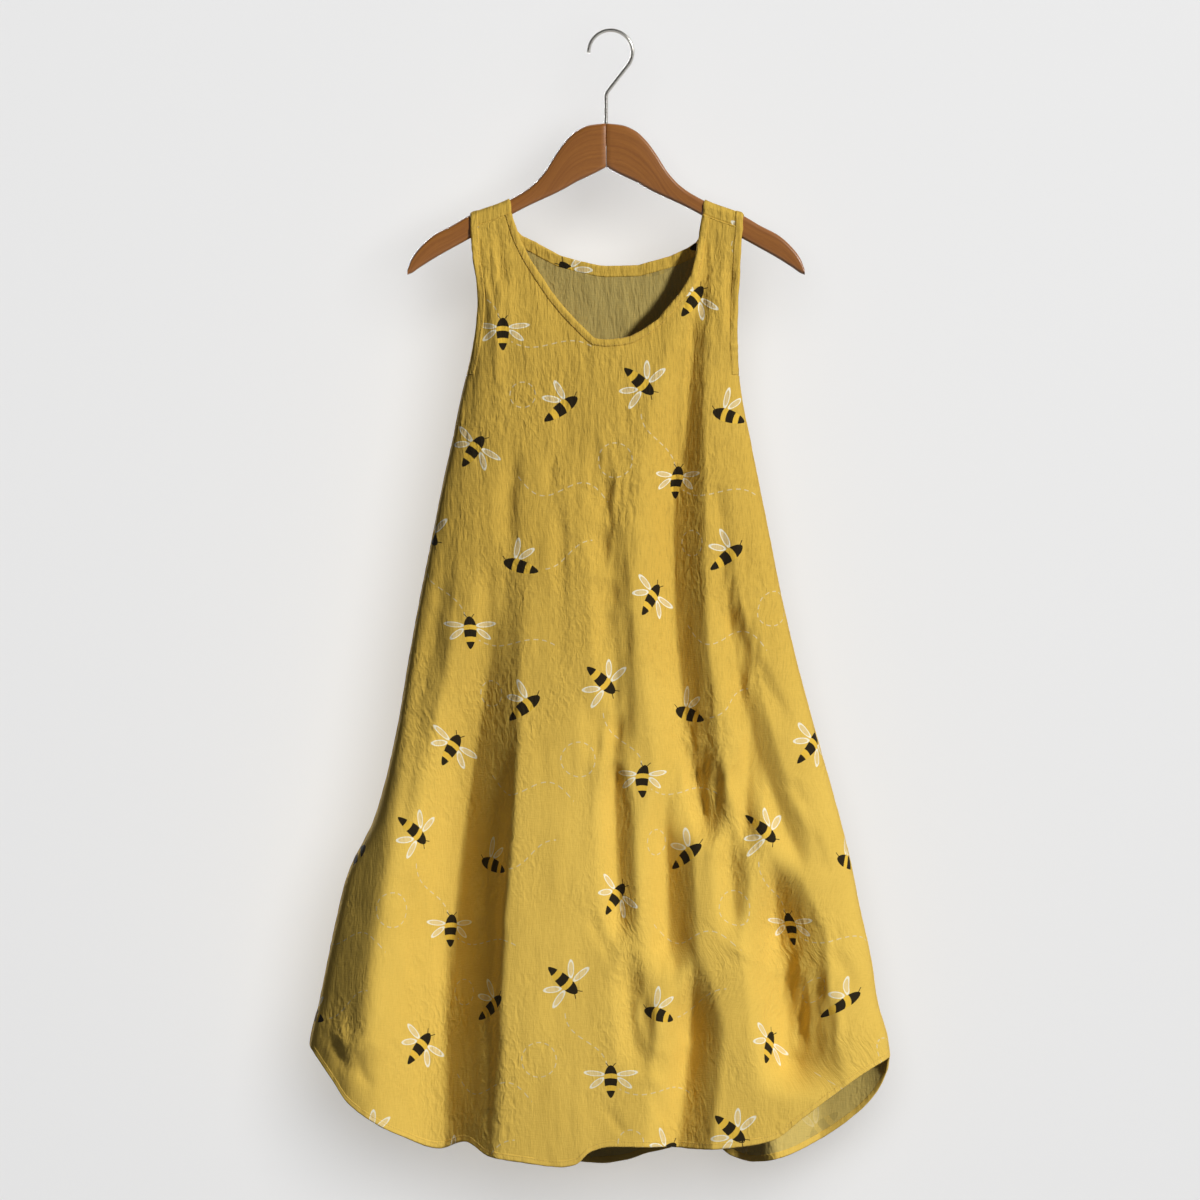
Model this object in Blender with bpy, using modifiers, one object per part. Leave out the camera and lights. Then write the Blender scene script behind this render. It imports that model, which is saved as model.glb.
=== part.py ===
"""Sleeveless tank dress hanging from a wooden hanger, in metres, +Z up, its front facing -Y.

The origin is the inside top of the hanger's hook, where a rail carries it.
Tables give widths from the hanger's middle and drops below the hanger's crown, both in millimetres.
Each panel is a loft of sections, thickened to a cloth wall. Bands on a panel are made from its points.
"""

import math

import bmesh
import bpy
import numpy as np
from mathutils import Vector
from mathutils.kdtree import KDTree

MM = 0.001

# Hook and hanger
WIRE_RADIUS = 0.002
HOOK_RADIUS = 0.0242
HOOK_TIP_ANGLE = 182.0
HOOK_LEAN = 38.0
HOOK_NECK_RADIUS = 0.012
HOOK_STEP = 10.0
HOOK_STRAIGHT_STEPS = 4
HOOK_NECK_STEPS = 4
HOOK_ROUNDING = 2
HANGER_X = -0.005
CROWN_Z = -0.1008
STEM_DEPTH = 0.025
BORE_GAP = 0.0003
BORE_SIDES = 16
HANGER_THICKNESS = 0.012
HALF_JOINT = 0.00015
HANGER_SECTIONS = 26
HANGER_ARC_STEPS = 5
SHARP_ANGLE = 40.0

# Cloth
WALL = 0.0014
BAND_WALL = 0.0012
LAY_GAP = 0.0003
SEAT_GAP = 0.0006
UNDERARM = 277.6
SEAM_DROP = 16.0
ARMHOLE_BAND = 8.0
FRONT_NECK_BAND = 8.0
BACK_NECK_BAND = 12.0
EDGE_TURN = 2.5
EDGE_TURN_RISE = 20.0
SIDE_SHARE = 0.2
SHOULDER_X = 148.5
SECTION_POWER = 2.4

# Grid of each panel
HALF_COLUMNS = 18
SKIRT_ROWS = 18
WRAP_STEPS = 7
NECK_TANGENT_REACH = 8
NECK_TOP_BLEND = 20.0
NECK_STEP = 1.0
STATION_PASSES = 5
WELD = 1e-5
TINY = 1e-6

# How each panel's grid meets its neckline: rows to the straps, columns across a strap, rows up a strap
CHEST_GRID = {
    # face: chest_rows, strap_columns, strap_rows, strap_foot
    "front": (4, 10, 7, 200.0),
    "back": (6, 8, 4, 152.0),
}

CLOTH_COLOUR = (0.72, 0.50, 0.09, 1.0)
WOOD_COLOUR = (0.42, 0.17, 0.05, 1.0)
STEEL_COLOUR = (0.45, 0.43, 0.40, 1.0)

# Hanger half: distance out from the middle, top edge and lower edge as drops below the crown
HANGER_OUTLINE = (
    # out, top, bottom
    (0.0, 0.0, 48.5),
    (17.0, 1.8, 57.3),
    (32.5, 8.3, 64.5),
    (45.0, 19.9, 71.7),
    (55.7, 34.6, 77.2),
    (68.0, 53.9, 82.9),
    (82.0, 69.0, 89.3),
    (99.0, 80.4, 97.9),
    (115.8, 88.6, 107.5),
    (148.5, 100.6, 126.0),
    (170.0, 112.8, 137.9),
    (190.3, 123.6, 149.4),
    (205.0, 136.7, 158.8),
    (215.0, 150.6, 165.5),
    (219.0, 161.5, 167.0),
)

# Body of the dress: half widths, half depths, and how far the edges stand from the middle plane
SECTIONS = (
    # drop, left, right, front, back, edge
    (80.0, 146.0, 154.5, 7.3, 7.3, 7.3),
    (104.0, 149.5, 152.0, 7.3, 7.3, 7.3),
    (128.0, 148.0, 148.7, 7.4, 7.4, 7.4),
    (151.0, 146.0, 147.4, 13.0, 12.5, 12.0),
    (172.8, 142.6, 146.6, 16.0, 15.5, 14.0),
    (195.0, 140.9, 144.8, 19.0, 18.0, 15.0),
    (235.0, 144.4, 144.2, 23.0, 21.0, 12.0),
    (277.6, 152.9, 145.8, 26.0, 24.0, 0.15),
    (305.1, 159.5, 149.3, 27.5, 25.5, 0.15),
    (349.2, 168.3, 158.1, 29.5, 27.5, 0.15),
    (393.4, 178.2, 166.9, 31.5, 29.5, 0.15),
    (459.5, 191.4, 180.2, 35.0, 32.0, 0.15),
    (525.7, 204.7, 193.4, 38.5, 35.0, 0.15),
    (591.9, 216.8, 208.9, 42.0, 38.0, 0.15),
    (658.0, 227.8, 226.5, 45.0, 41.0, 0.15),
    (724.2, 242.2, 245.2, 48.0, 44.0, 0.15),
    (768.3, 255.4, 257.4, 50.0, 46.0, 0.15),
    (790.0, 265.5, 263.0, 51.0, 47.0, 0.15),
    (812.4, 277.5, 268.4, 52.0, 47.5, 0.15),
    (834.0, 286.0, 273.0, 53.0, 48.0, 0.15),
    (856.5, 291.8, 277.2, 54.0, 49.0, 0.15),
    (922.7, 306.1, 291.6, 56.5, 51.0, 0.15),
    (966.8, 315.0, 298.2, 58.0, 52.5, 0.15),
    (1016.0, 326.0, 311.0, 59.0, 53.5, 0.15),
    (1150.0, 331.0, 320.0, 60.0, 55.0, 0.15),
)

# Necklines: drop and distance out from the middle, from the lowest point up to above the hanger
FRONT_NECK = (
    # drop, left, right
    (239.8, 0.0, 0.0),
    (238.4, 12.5, 16.5),
    (235.6, 16.0, 28.3),
    (228.4, 23.5, 41.0),
    (216.9, 35.0, 57.5),
    (203.0, 47.5, 68.8),
    (187.9, 59.5, 81.6),
    (167.6, 73.0, 94.2),
    (150.0, 84.2, 98.5),
    (131.0, 94.0, 102.0),
    (118.0, 98.8, 104.0),
    (104.0, 103.4, 106.5),
    (80.0, 109.0, 112.0),
)
BACK_NECK = (
    # drop, left, right
    (157.2, 0.0, 0.0),
    (156.3, 9.0, 35.0),
    (151.4, 30.0, 53.0),
    (146.0, 50.0, 71.5),
    (137.2, 67.0, 90.4),
    (131.0, 78.0, 99.5),
    (124.0, 93.0, 104.0),
    (112.0, 104.0, 108.0),
    (80.0, 114.0, 114.0),
)

# Hems: share of the half width, from the left side seam to the right one, and drop
FRONT_HEM = (
    # share, drop
    (-1.0, 1017.0),
    (-0.912, 1055.0),
    (-0.864, 1077.0),
    (-0.775, 1099.0),
    (-0.69, 1113.5),
    (-0.556, 1129.0),
    (-0.47, 1120.5),
    (-0.388, 1135.5),
    (-0.287, 1141.0),
    (-0.153, 1146.5),
    (-0.103, 1144.0),
    (-0.052, 1130.0),
    (0.015, 1124.5),
    (0.19, 1125.6),
    (0.33, 1127.8),
    (0.47, 1124.5),
    (0.575, 1117.9),
    (0.682, 1093.6),
    (0.79, 1069.3),
    (0.90, 1046.2),
    (1.0, 1029.0),
)
BACK_HEM = (
    # share, drop
    (-1.0, 1017.0),
    (-0.85, 1068.0),
    (-0.60, 1112.0),
    (-0.30, 1136.0),
    (-0.113, 1146.0),
    (-0.02, 1149.8),
    (0.068, 1146.5),
    (0.155, 1136.6),
    (0.26, 1128.9),
    (0.38, 1130.0),
    (0.434, 1141.0),
    (0.503, 1147.0),
    (0.608, 1141.0),
    (0.731, 1124.5),
    (0.853, 1099.2),
    (0.943, 1071.6),
    (0.99, 1044.0),
    (1.0, 1029.0),
)

# Main folds, as troughs: where each starts, is full and ends, the width of its two walls, and its depth
FRONT_FOLDS = (
    # top_drop, top_x, mid_drop, mid_x, low_drop, low_x, left_wall, right_wall, depth
    (430.0, -90.0, 812.0, -156.0, 1150.0, -172.0, 92.0, 52.0, 34.0),
    (150.0, 104.0, 440.0, 77.0, 760.0, 106.0, 46.0, 30.0, 17.0),
    (390.0, 131.0, 640.0, 153.0, 790.0, 204.0, 30.0, 22.0, 9.0),
    (660.0, 158.0, 725.0, 156.0, 770.0, 154.0, 26.0, 18.0, 8.0),
    (700.0, 66.0, 810.0, 67.0, 890.0, 70.0, 34.0, 28.0, 15.0),
    (640.0, 12.0, 770.0, 13.0, 860.0, 16.0, 26.0, 18.0, 9.0),
    (760.0, 136.0, 820.0, 138.0, 865.0, 141.0, 26.0, 18.0, 8.0),
    (790.0, 184.0, 900.0, 193.0, 1060.0, 206.0, 46.0, 52.0, 26.0),
    (900.0, 96.0, 1010.0, 92.0, 1150.0, 76.0, 40.0, 36.0, 20.0),
    (890.0, 25.0, 960.0, 27.0, 1010.0, 32.0, 26.0, 22.0, 7.0),
    (330.0, -2.0, 520.0, 8.0, 660.0, 14.0, 30.0, 20.0, 6.0),
    (420.0, -160.0, 600.0, -193.0, 760.0, -222.0, 22.0, 16.0, 5.0),
)
BACK_FOLDS = (
    # top_drop, top_x, mid_drop, mid_x, low_drop, low_x, left_wall, right_wall, depth
    (420.0, -92.0, 760.0, -136.0, 1150.0, -182.0, 54.0, 50.0, 26.0),
    (330.0, -24.0, 680.0, -36.0, 1150.0, -62.0, 40.0, 44.0, 22.0),
    (380.0, 40.0, 740.0, 52.0, 1150.0, 70.0, 40.0, 38.0, 24.0),
    (460.0, 96.0, 800.0, 142.0, 1150.0, 190.0, 46.0, 52.0, 26.0),
)
FOLD_FADE = 45.0
FOLD_TOP_WIDTH = 0.35
FOLD_EDGE_POWER = 10


def curve_through(rows, key, value):
    """A smooth function through two columns of a table."""
    ordered = sorted(rows, key=lambda row: row[key])
    at = np.array([row[key] for row in ordered], float)
    height = np.array([row[value] for row in ordered], float)
    secant = np.diff(height) / np.diff(at)
    slope = np.zeros(len(at))
    for i in range(1, len(at) - 1):
        if secant[i - 1] * secant[i] > 0:
            slope[i] = 2 * secant[i - 1] * secant[i] / (secant[i - 1] + secant[i])
    slope[0] = secant[0]
    slope[-1] = secant[-1]

    def read(where):
        where = min(max(where, at[0]), at[-1])
        i = min(int(np.searchsorted(at, where, side="right")) - 1, len(at) - 2)
        step = at[i + 1] - at[i]
        t = (where - at[i]) / step
        return (
            height[i] * (1 + 2 * t) * (1 - t) ** 2
            + slope[i] * step * t * (1 - t) ** 2
            + height[i + 1] * t * t * (3 - 2 * t)
            + slope[i + 1] * step * t * t * (t - 1)
        )

    return read


hanger_top = curve_through(HANGER_OUTLINE, 0, 1)
hanger_bottom = curve_through(HANGER_OUTLINE, 0, 2)
half_width = {-1: curve_through(SECTIONS, 0, 1), 1: curve_through(SECTIONS, 0, 2)}
half_depth = {"front": curve_through(SECTIONS, 0, 3), "back": curve_through(SECTIONS, 0, 4)}
edge_depth = curve_through(SECTIONS, 0, 5)
neck_foot = {"front": FRONT_NECK[0][0], "back": BACK_NECK[0][0]}
neck_band = {"front": FRONT_NECK_BAND, "back": BACK_NECK_BAND}
hem_drop = {"front": curve_through(FRONT_HEM, 0, 1), "back": curve_through(BACK_HEM, 0, 1)}
folds = {"front": FRONT_FOLDS, "back": BACK_FOLDS}
towards = {"front": -1, "back": 1}


def smooth_step(value):
    value = min(max(value, 0.0), 1.0)
    return value * value * (3 - 2 * value)


def trough(fold, x, drop):
    """How far one fold sinks the cloth at a point, in millimetres."""
    top_drop, top_x, mid_drop, mid_x, low_drop, low_x, left_wall, right_wall, depth = fold
    if drop <= top_drop or drop >= low_drop + FOLD_FADE:
        return 0.0
    along = (drop - top_drop) / (low_drop - top_drop)
    middle = (mid_drop - top_drop) / (low_drop - top_drop)
    grown = smooth_step(along / middle)
    bend = (mid_x - top_x - (low_x - top_x) * middle) / (middle * (middle - 1))
    line = top_x + (low_x - top_x - bend) * along + bend * along * along
    wall = (left_wall if x < line else right_wall) * (FOLD_TOP_WIDTH + (1 - FOLD_TOP_WIDTH) * grown)
    reach = abs(x - line) / wall
    if reach >= 1:
        return 0.0
    ending = 1 - smooth_step((drop - low_drop) / FOLD_FADE)
    return depth * grown * ending * 0.5 * (1 + math.cos(math.pi * reach))


def cloth_depth(face, x, drop):
    """Distance of a panel's middle surface from the middle plane, in millimetres."""
    side = -1 if x < 0 else 1
    share = min(abs(x) / half_width[side](drop), 1.0)
    edge = edge_depth(drop)
    crown = (1 - share**SECTION_POWER) ** (1 / SECTION_POWER)
    sunk = sum(trough(fold, x, drop) for fold in folds[face])
    return edge + (half_depth[face](drop) - edge) * crown - sunk * (1 - share**FOLD_EDGE_POWER)


def place(x, depth, drop):
    """Millimetres from the hanger's middle and crown, as a point in the part's frame."""
    return Vector((HANGER_X + x * MM, depth * MM, CROWN_Z - drop * MM))


def between(start, end, share):
    return tuple(a + (b - a) * share for a, b in zip(start, end))


def panel_point(face, x, drop, edge_column=None):
    """A point of a panel's middle surface. Its two outermost columns turn in towards the middle plane."""
    if edge_column is None:
        depth = cloth_depth(face, x, drop)
    else:
        edge = edge_depth(drop)
        depth = edge + edge_column * SIDE_SHARE * (half_depth[face](drop) - edge)
    return place(x, towards[face] * depth, drop)


def column_shares():
    """Shares of the half width at which the columns run, from the outer edge to the middle."""
    band = ARMHOLE_BAND / half_width[1](UNDERARM)
    return [1.0, 1.0, *(1 - np.linspace(band, 1.0, HALF_COLUMNS - 1))]


def edge_turn(drop):
    """Width of the narrow outermost column, which closes up at the underarm."""
    return EDGE_TURN * smooth_step((UNDERARM - drop) / EDGE_TURN_RISE)


def body_row(face, side, drops):
    """A row across half the body, with a drop for each column."""
    points = []
    for column, (share, drop) in enumerate(zip(column_shares(), drops)):
        x = share * half_width[side](drop) - (edge_turn(drop) if column == 1 else 0.0)
        points.append(panel_point(face, side * x, drop, column if column < 2 else None))
    return points


def strap_row(face, side, outer, inner, columns, rise=None):
    """A row across a strap, from the armhole (x, drop) to the neck band (x, drop)."""
    length = math.dist(outer, inner)
    points = []
    steps = [0.0, edge_turn(outer[1]), *np.linspace(ARMHOLE_BAND, length, columns - 1)]
    for column, step in enumerate(steps):
        x, drop = between(outer, inner, step / length)
        if rise is not None:
            drop = hanger_top(abs(x)) + rise
        points.append(panel_point(face, x, drop, column if column < 2 else None))
    return points


def shoulder_rise(face):
    """Drop of a panel's last flat row below the hanger's top edge: at the back, to the bar's middle."""
    return HANGER_THICKNESS / 2 / MM if face == "back" else SEAM_DROP + LAY_GAP / MM


def neck_lines(face, side):
    """Half a neckline and the line beside it, as evenly spaced points (x, drop) from the middle up."""
    table = BACK_NECK if face == "back" else FRONT_NECK
    rise = shoulder_rise(face)
    corners = [(side * row[1 if side < 0 else 2], row[0]) for row in table]
    travelled = np.concatenate(([0.0], np.cumsum([math.dist(a, b) for a, b in zip(corners, corners[1:])])))
    steps = np.arange(0.0, travelled[-1], NECK_STEP)
    neck = list(zip(*(np.interp(steps, travelled, [point[axis] for point in corners]) for axis in (0, 1))))
    neck = [point for point in neck if point[1] > hanger_top(abs(point[0])) + rise]
    neck[-1] = (neck[-1][0], hanger_top(abs(neck[-1][0])) + rise)
    beside = []
    last = len(neck) - 1
    for i, (x, drop) in enumerate(neck):
        before = i - NECK_TANGENT_REACH
        low = neck[before] if before >= 0 else (-neck[-before][0], neck[-before][1])
        high = neck[min(i + NECK_TANGENT_REACH, last)]
        run, climb = side * (high[0] - low[0]), low[1] - high[1]
        length = math.hypot(run, climb)
        square_on = (side * climb / length, run / length)
        level = smooth_step(1 - (last - i) / NECK_TOP_BLEND)
        out = between(square_on, (side, 0.0), level)
        beside.append((x + out[0] * neck_band[face], drop + out[1] * neck_band[face]))
    beside[0] = (0.0, beside[0][1])
    beside[-1] = (beside[-1][0], hanger_top(abs(beside[-1][0])) + rise)
    return neck, beside


def half_panel(face, side):
    """Half a panel as three grids of points: its body from the hem up, its strap and its neck band."""
    chest_rows, strap_columns, strap_rows, strap_foot = CHEST_GRID[face]
    shares = column_shares()
    rise = shoulder_rise(face)
    neck, beside = neck_lines(face, side)
    reach = [abs(point[0]) for point in beside]
    stations = []
    for share in shares[strap_columns:]:
        station = 0.0
        for _ in range(STATION_PASSES):
            drop = np.interp(station, range(len(beside)), [point[1] for point in beside])
            station = float(np.interp(share * half_width[side](drop), reach, range(len(beside))))
        stations.append(station)
    strap_stations = np.linspace(stations[0], len(beside) - 1, strap_rows + 1)

    def at(line, station):
        count = range(len(line))
        return tuple(float(np.interp(station, count, [point[axis] for point in line])) for axis in (0, 1))

    split_drop = at(beside, stations[0])[1]
    drops = [strap_foot + (split_drop - strap_foot) * (1 - s) / (1 - shares[strap_columns]) for s in shares]
    drops[strap_columns:] = [at(beside, station)[1] for station in stations]

    body = []
    for row in range(SKIRT_ROWS):
        down = 1 - row / SKIRT_ROWS
        hem = [hem_drop[face](side * share) for share in shares]
        body.append(body_row(face, side, [UNDERARM + (drop - UNDERARM) * down for drop in hem]))
    for row in range(chest_rows + 1):
        up = row / chest_rows
        body.append(body_row(face, side, [UNDERARM + (drop - UNDERARM) * up for drop in drops]))

    shoulder_x = side * half_width[side](hanger_top(SHOULDER_X) + rise)
    shoulder = (shoulder_x, hanger_top(abs(shoulder_x)) + rise)
    strap = [body[-1][: strap_columns + 1]]
    beside_points = body[-1][:strap_columns:-1]
    band = [[p, panel_point(face, *at(neck, s))] for p, s in zip(beside_points, stations[::-1])]
    band.append([strap[0][-1], panel_point(face, *at(neck, stations[0]))])
    for row in range(1, strap_rows + 1):
        top = row == strap_rows
        drop = strap_foot + (shoulder[1] - strap_foot) * row / strap_rows
        outer = shoulder if top else (side * half_width[side](drop), drop)
        inner = at(beside, strap_stations[row])
        strap.append(strap_row(face, side, outer, inner, strap_columns, rise if top else None))
        band.append([strap[-1][-1], panel_point(face, *at(neck, strap_stations[row]))])
    if face == "back":
        outer, inner = seam_ends(side)
        seam_band = inner + side * neck_band[face]
        across = list(np.linspace(outer - side * ARMHOLE_BAND, seam_band, strap_columns - 1))
        strap += over_hanger(strap[-1], [outer, outer - side * EDGE_TURN, *across])
        band += over_hanger(band[-1], [seam_band, inner])
    return {"body": body, "strap": strap, "neck": band}


def over_hanger(last, seam_xs):
    """Rows that take a back strap's last row over the hanger and down to the shoulder seam in front."""
    centre = HANGER_THICKNESS / 2 / MM
    radius = centre + (SEAT_GAP + WALL / 2) / MM
    starts = [(point.x - HANGER_X) / MM for point in last]
    rows = []
    for step in range(1, WRAP_STEPS + 2):
        angle = math.pi * min(step / WRAP_STEPS, 1.0)
        drift = smooth_step(step / (WRAP_STEPS + 1))
        row = []
        for start, end in zip(starts, seam_xs):
            x = start + (end - start) * drift
            sunk = SEAM_DROP if step > WRAP_STEPS else centre - radius * math.sin(angle)
            row.append(place(x, radius * math.cos(angle), hanger_top(abs(x)) + sunk))
        rows.append(row)
    return rows


def seam_ends(side):
    """Where the shoulder seam meets the armhole and the neckline in front, as distances across."""
    rise = shoulder_rise("front")
    outer = side * half_width[side](hanger_top(SHOULDER_X) + rise)
    inner = neck_lines("front", side)[0][-1][0]
    return outer, inner


def material(name, colour, roughness, metallic=0.0):
    made = bpy.data.materials.new(name)
    made.use_nodes = True
    shader = made.node_tree.nodes["Principled BSDF"]
    shader.inputs["Base Color"].default_value = colour
    shader.inputs["Roughness"].default_value = roughness
    shader.inputs["Metallic"].default_value = metallic
    return made


def add_object(name, data, collection, finish):
    made = bpy.data.objects.new(name, data)
    collection.objects.link(made)
    data.materials.append(finish)
    return made


def sheet_mesh(name, grids):
    """An open, welded triangle mesh of several grids, each (rows of points, whether to turn its faces)."""
    shape = bmesh.new()
    for rows, turned in grids:
        points = [[shape.verts.new(p) for p in row] for row in rows]
        for low, high in zip(points, points[1:]):
            for a, b, c, d in zip(low, low[1:], high[1:], high):
                for corners in ((a, b, c), (a, c, d)):
                    shape.faces.new(corners[::-1] if turned else corners)
    bmesh.ops.remove_doubles(shape, verts=shape.verts, dist=WELD)
    bmesh.ops.dissolve_degenerate(shape, dist=TINY, edges=shape.edges)
    shape.normal_update()
    data = bpy.data.meshes.new(name)
    shape.to_mesh(data)
    shape.free()
    data.shade_smooth()
    return data


def thicken(made, wall):
    solid = made.modifiers.new("wall", "SOLIDIFY")
    solid.thickness = wall
    solid.offset = 0
    solid.use_even_offset = False
    return made


def cloth_panel(face, collection, finish):
    """A front or back panel: its half grids, and a reader of the direction that its cloth faces."""
    halves = {side: half_panel(face, side) for side in (-1, 1)}
    grids = [(grid, side * towards[face] < 0) for side in (-1, 1) for grid in halves[side].values()]
    data = sheet_mesh(f"{face}_panel", grids)
    near = KDTree(len(data.vertices))
    normals = []
    for vertex in data.vertices:
        near.insert(vertex.co, vertex.index)
        normals.append(vertex.normal.copy())
    near.balance()
    thicken(add_object(f"{face}_panel", data, collection, finish), WALL)
    return halves, lambda point: normals[near.find(point)[1]]


def laid_on(rows, facing, side_out):
    """A block of a panel's points, moved out by the wall and a gap."""
    out = side_out * (WALL / 2 + LAY_GAP + BAND_WALL / 2)
    return [[p + facing(p) * out for p in row] for row in rows]


def neck_strip(name, face, side_out, rows, panel, collection, finish):
    """A band along a neckline, over a number of its rows to each side of its lowest point."""
    halves, facing = panel
    grids = []
    for side in (-1, 1):
        block = halves[side]["neck"][:rows]
        grids.append((laid_on(block, facing, side_out), side * towards[face] < 0))
    data = sheet_mesh(name, grids)
    return thicken(add_object(name, data, collection, finish), BAND_WALL)


def armhole_strip(name, side, front, back, collection, finish):
    """A band round an armhole: up the front edge, over the shoulder and down the back edge."""
    edges = []
    for halves, facing in (front, back):
        rows = halves[side]["body"][SKIRT_ROWS:] + halves[side]["strap"][1:]
        edges.append(laid_on([row[:3] for row in rows], facing, 1))
    data = sheet_mesh(name, [(edges[0][:-1] + edges[1][::-1], side > 0)])
    return thicken(add_object(name, data, collection, finish), BAND_WALL)


def hanger_ring(out):
    """Section of the hanger across its length: a bar with full round edges."""
    top, bottom = hanger_top(out), hanger_bottom(out)
    radius = min(HANGER_THICKNESS / 2 / MM, (bottom - top) / 2)
    ring = []
    for centre, start in ((top + radius, 0.0), (bottom - radius, math.pi)):
        for step in range(HANGER_ARC_STEPS + 1):
            angle = start + math.pi * step / HANGER_ARC_STEPS
            ring.append((radius * math.cos(angle), centre - radius * math.sin(angle)))
    return ring


def hanger_half(side, collection, cutter, finish):
    """One wooden half, lofted outwards from the joint in the middle."""
    reach = HANGER_OUTLINE[-1][0]
    shape = bmesh.new()
    rings = []
    for section in range(HANGER_SECTIONS + 1):
        out = max(HALF_JOINT / MM, reach * math.sin(math.pi / 2 * section / HANGER_SECTIONS))
        rings.append([shape.verts.new(place(side * out, depth, drop)) for depth, drop in hanger_ring(out)])
    for inner, outer in zip(rings, rings[1:]):
        for i in range(len(inner)):
            after = (i + 1) % len(inner)
            shape.faces.new((inner[i], inner[after], outer[after], outer[i]))
    shape.faces.new(rings[0])
    shape.faces.new(rings[-1])
    bmesh.ops.remove_doubles(shape, verts=shape.verts, dist=TINY)
    bmesh.ops.recalc_face_normals(shape, faces=shape.faces)
    name = "hanger_left" if side < 0 else "hanger_right"
    data = bpy.data.meshes.new(name)
    shape.to_mesh(data)
    shape.free()
    data.shade_smooth()
    data.set_sharp_from_angle(angle=math.radians(SHARP_ANGLE))
    made = add_object(name, data, collection, finish)
    bore = made.modifiers.new("stem_bore", "BOOLEAN")
    bore.operation = "DIFFERENCE"
    bore.object = cutter
    return made


def stem_cutter(collection):
    """Bore for the hook's stem, half in each wooden half."""
    length = STEM_DEPTH + BORE_GAP
    bpy.ops.mesh.primitive_cylinder_add(
        vertices=BORE_SIDES,
        radius=WIRE_RADIUS + BORE_GAP,
        depth=2 * length,
        location=(HANGER_X, 0.0, CROWN_Z),
    )
    cutter = bpy.context.object
    cutter.name = "stem_cutter"
    cutter.hide_render = True
    cutter.display_type = "WIRE"
    for holder in list(cutter.users_collection):
        holder.objects.unlink(cutter)
    collection.objects.link(cutter)
    return cutter


def hook_path():
    """Centre line of the hook: a long arc, a straight, a short arc back to plumb, and the stem."""
    centre_z = WIRE_RADIUS - HOOK_RADIUS
    points = []
    for angle in np.arange(HOOK_TIP_ANGLE, -HOOK_LEAN, -HOOK_STEP):
        turn = math.radians(angle)
        points.append((HOOK_RADIUS * math.cos(turn), centre_z + HOOK_RADIUS * math.sin(turn)))
    lean = math.radians(HOOK_LEAN)
    arc_end = (HOOK_RADIUS * math.cos(lean), centre_z - HOOK_RADIUS * math.sin(lean))
    neck_shift = HOOK_NECK_RADIUS * (1 - math.cos(lean))
    straight = (arc_end[0] - neck_shift - HANGER_X) / math.sin(lean)
    start = (arc_end[0] - straight * math.sin(lean), arc_end[1] - straight * math.cos(lean))
    for step in range(HOOK_STRAIGHT_STEPS):
        points.append(between(arc_end, start, step / HOOK_STRAIGHT_STEPS))
    neck_centre = (HANGER_X + HOOK_NECK_RADIUS, start[1] - HOOK_NECK_RADIUS * math.sin(lean))
    for share in np.linspace(0, 1, HOOK_NECK_STEPS + 1):
        turn = lean * (1 - share)
        offset = (-HOOK_NECK_RADIUS * math.cos(turn), HOOK_NECK_RADIUS * math.sin(turn))
        points.append((neck_centre[0] + offset[0], neck_centre[1] + offset[1]))
    points.append((HANGER_X, CROWN_Z - STEM_DEPTH))
    return points


def hook(collection, finish):
    data = bpy.data.curves.new("hook", "CURVE")
    data.dimensions = "3D"
    data.bevel_depth = WIRE_RADIUS
    data.bevel_resolution = HOOK_ROUNDING
    data.use_fill_caps = True
    path = hook_path()
    line = data.splines.new("POLY")
    line.points.add(len(path) - 1)
    for point, (x, z) in zip(line.points, path):
        point.co = (x, 0.0, z, 1.0)
    return add_object("hook", data, collection, finish)


def clear_scene():
    for old in list(bpy.data.objects):
        bpy.data.objects.remove(old)


def new_collection(name):
    made = bpy.data.collections.new(name)
    bpy.context.scene.collection.children.link(made)
    return made


def main():
    clear_scene()
    parts = new_collection("tank_dress")
    cutters = new_collection("cutters")
    cloth = material("cloth", CLOTH_COLOUR, 0.85)
    wood = material("wood", WOOD_COLOUR, 0.45)
    steel = material("steel", STEEL_COLOUR, 0.3, 1.0)
    front = cloth_panel("front", parts, cloth)
    back = cloth_panel("back", parts, cloth)
    front_rows = len(front[0][1]["neck"])
    back_rows = HALF_COLUMNS - CHEST_GRID["back"][1] + CHEST_GRID["back"][2]
    neck_strip("neck_binding_front", "front", 1, front_rows, front, parts, cloth)
    neck_strip("neck_facing_back", "back", -1, back_rows, back, parts, cloth)
    armhole_strip("armhole_binding_left", -1, front, back, parts, cloth)
    armhole_strip("armhole_binding_right", 1, front, back, parts, cloth)
    cutter = stem_cutter(cutters)
    for side in (-1, 1):
        hanger_half(side, parts, cutter, wood)
    hook(parts, steel)


main()
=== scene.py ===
"""Looks of the tank dress on its wooden hanger: creased cloth, seams, stitches, print, wood and steel.

Tables are in millimetres, across from the hanger's middle and down from its crown, as in the part's source.
"""

import math

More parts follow.
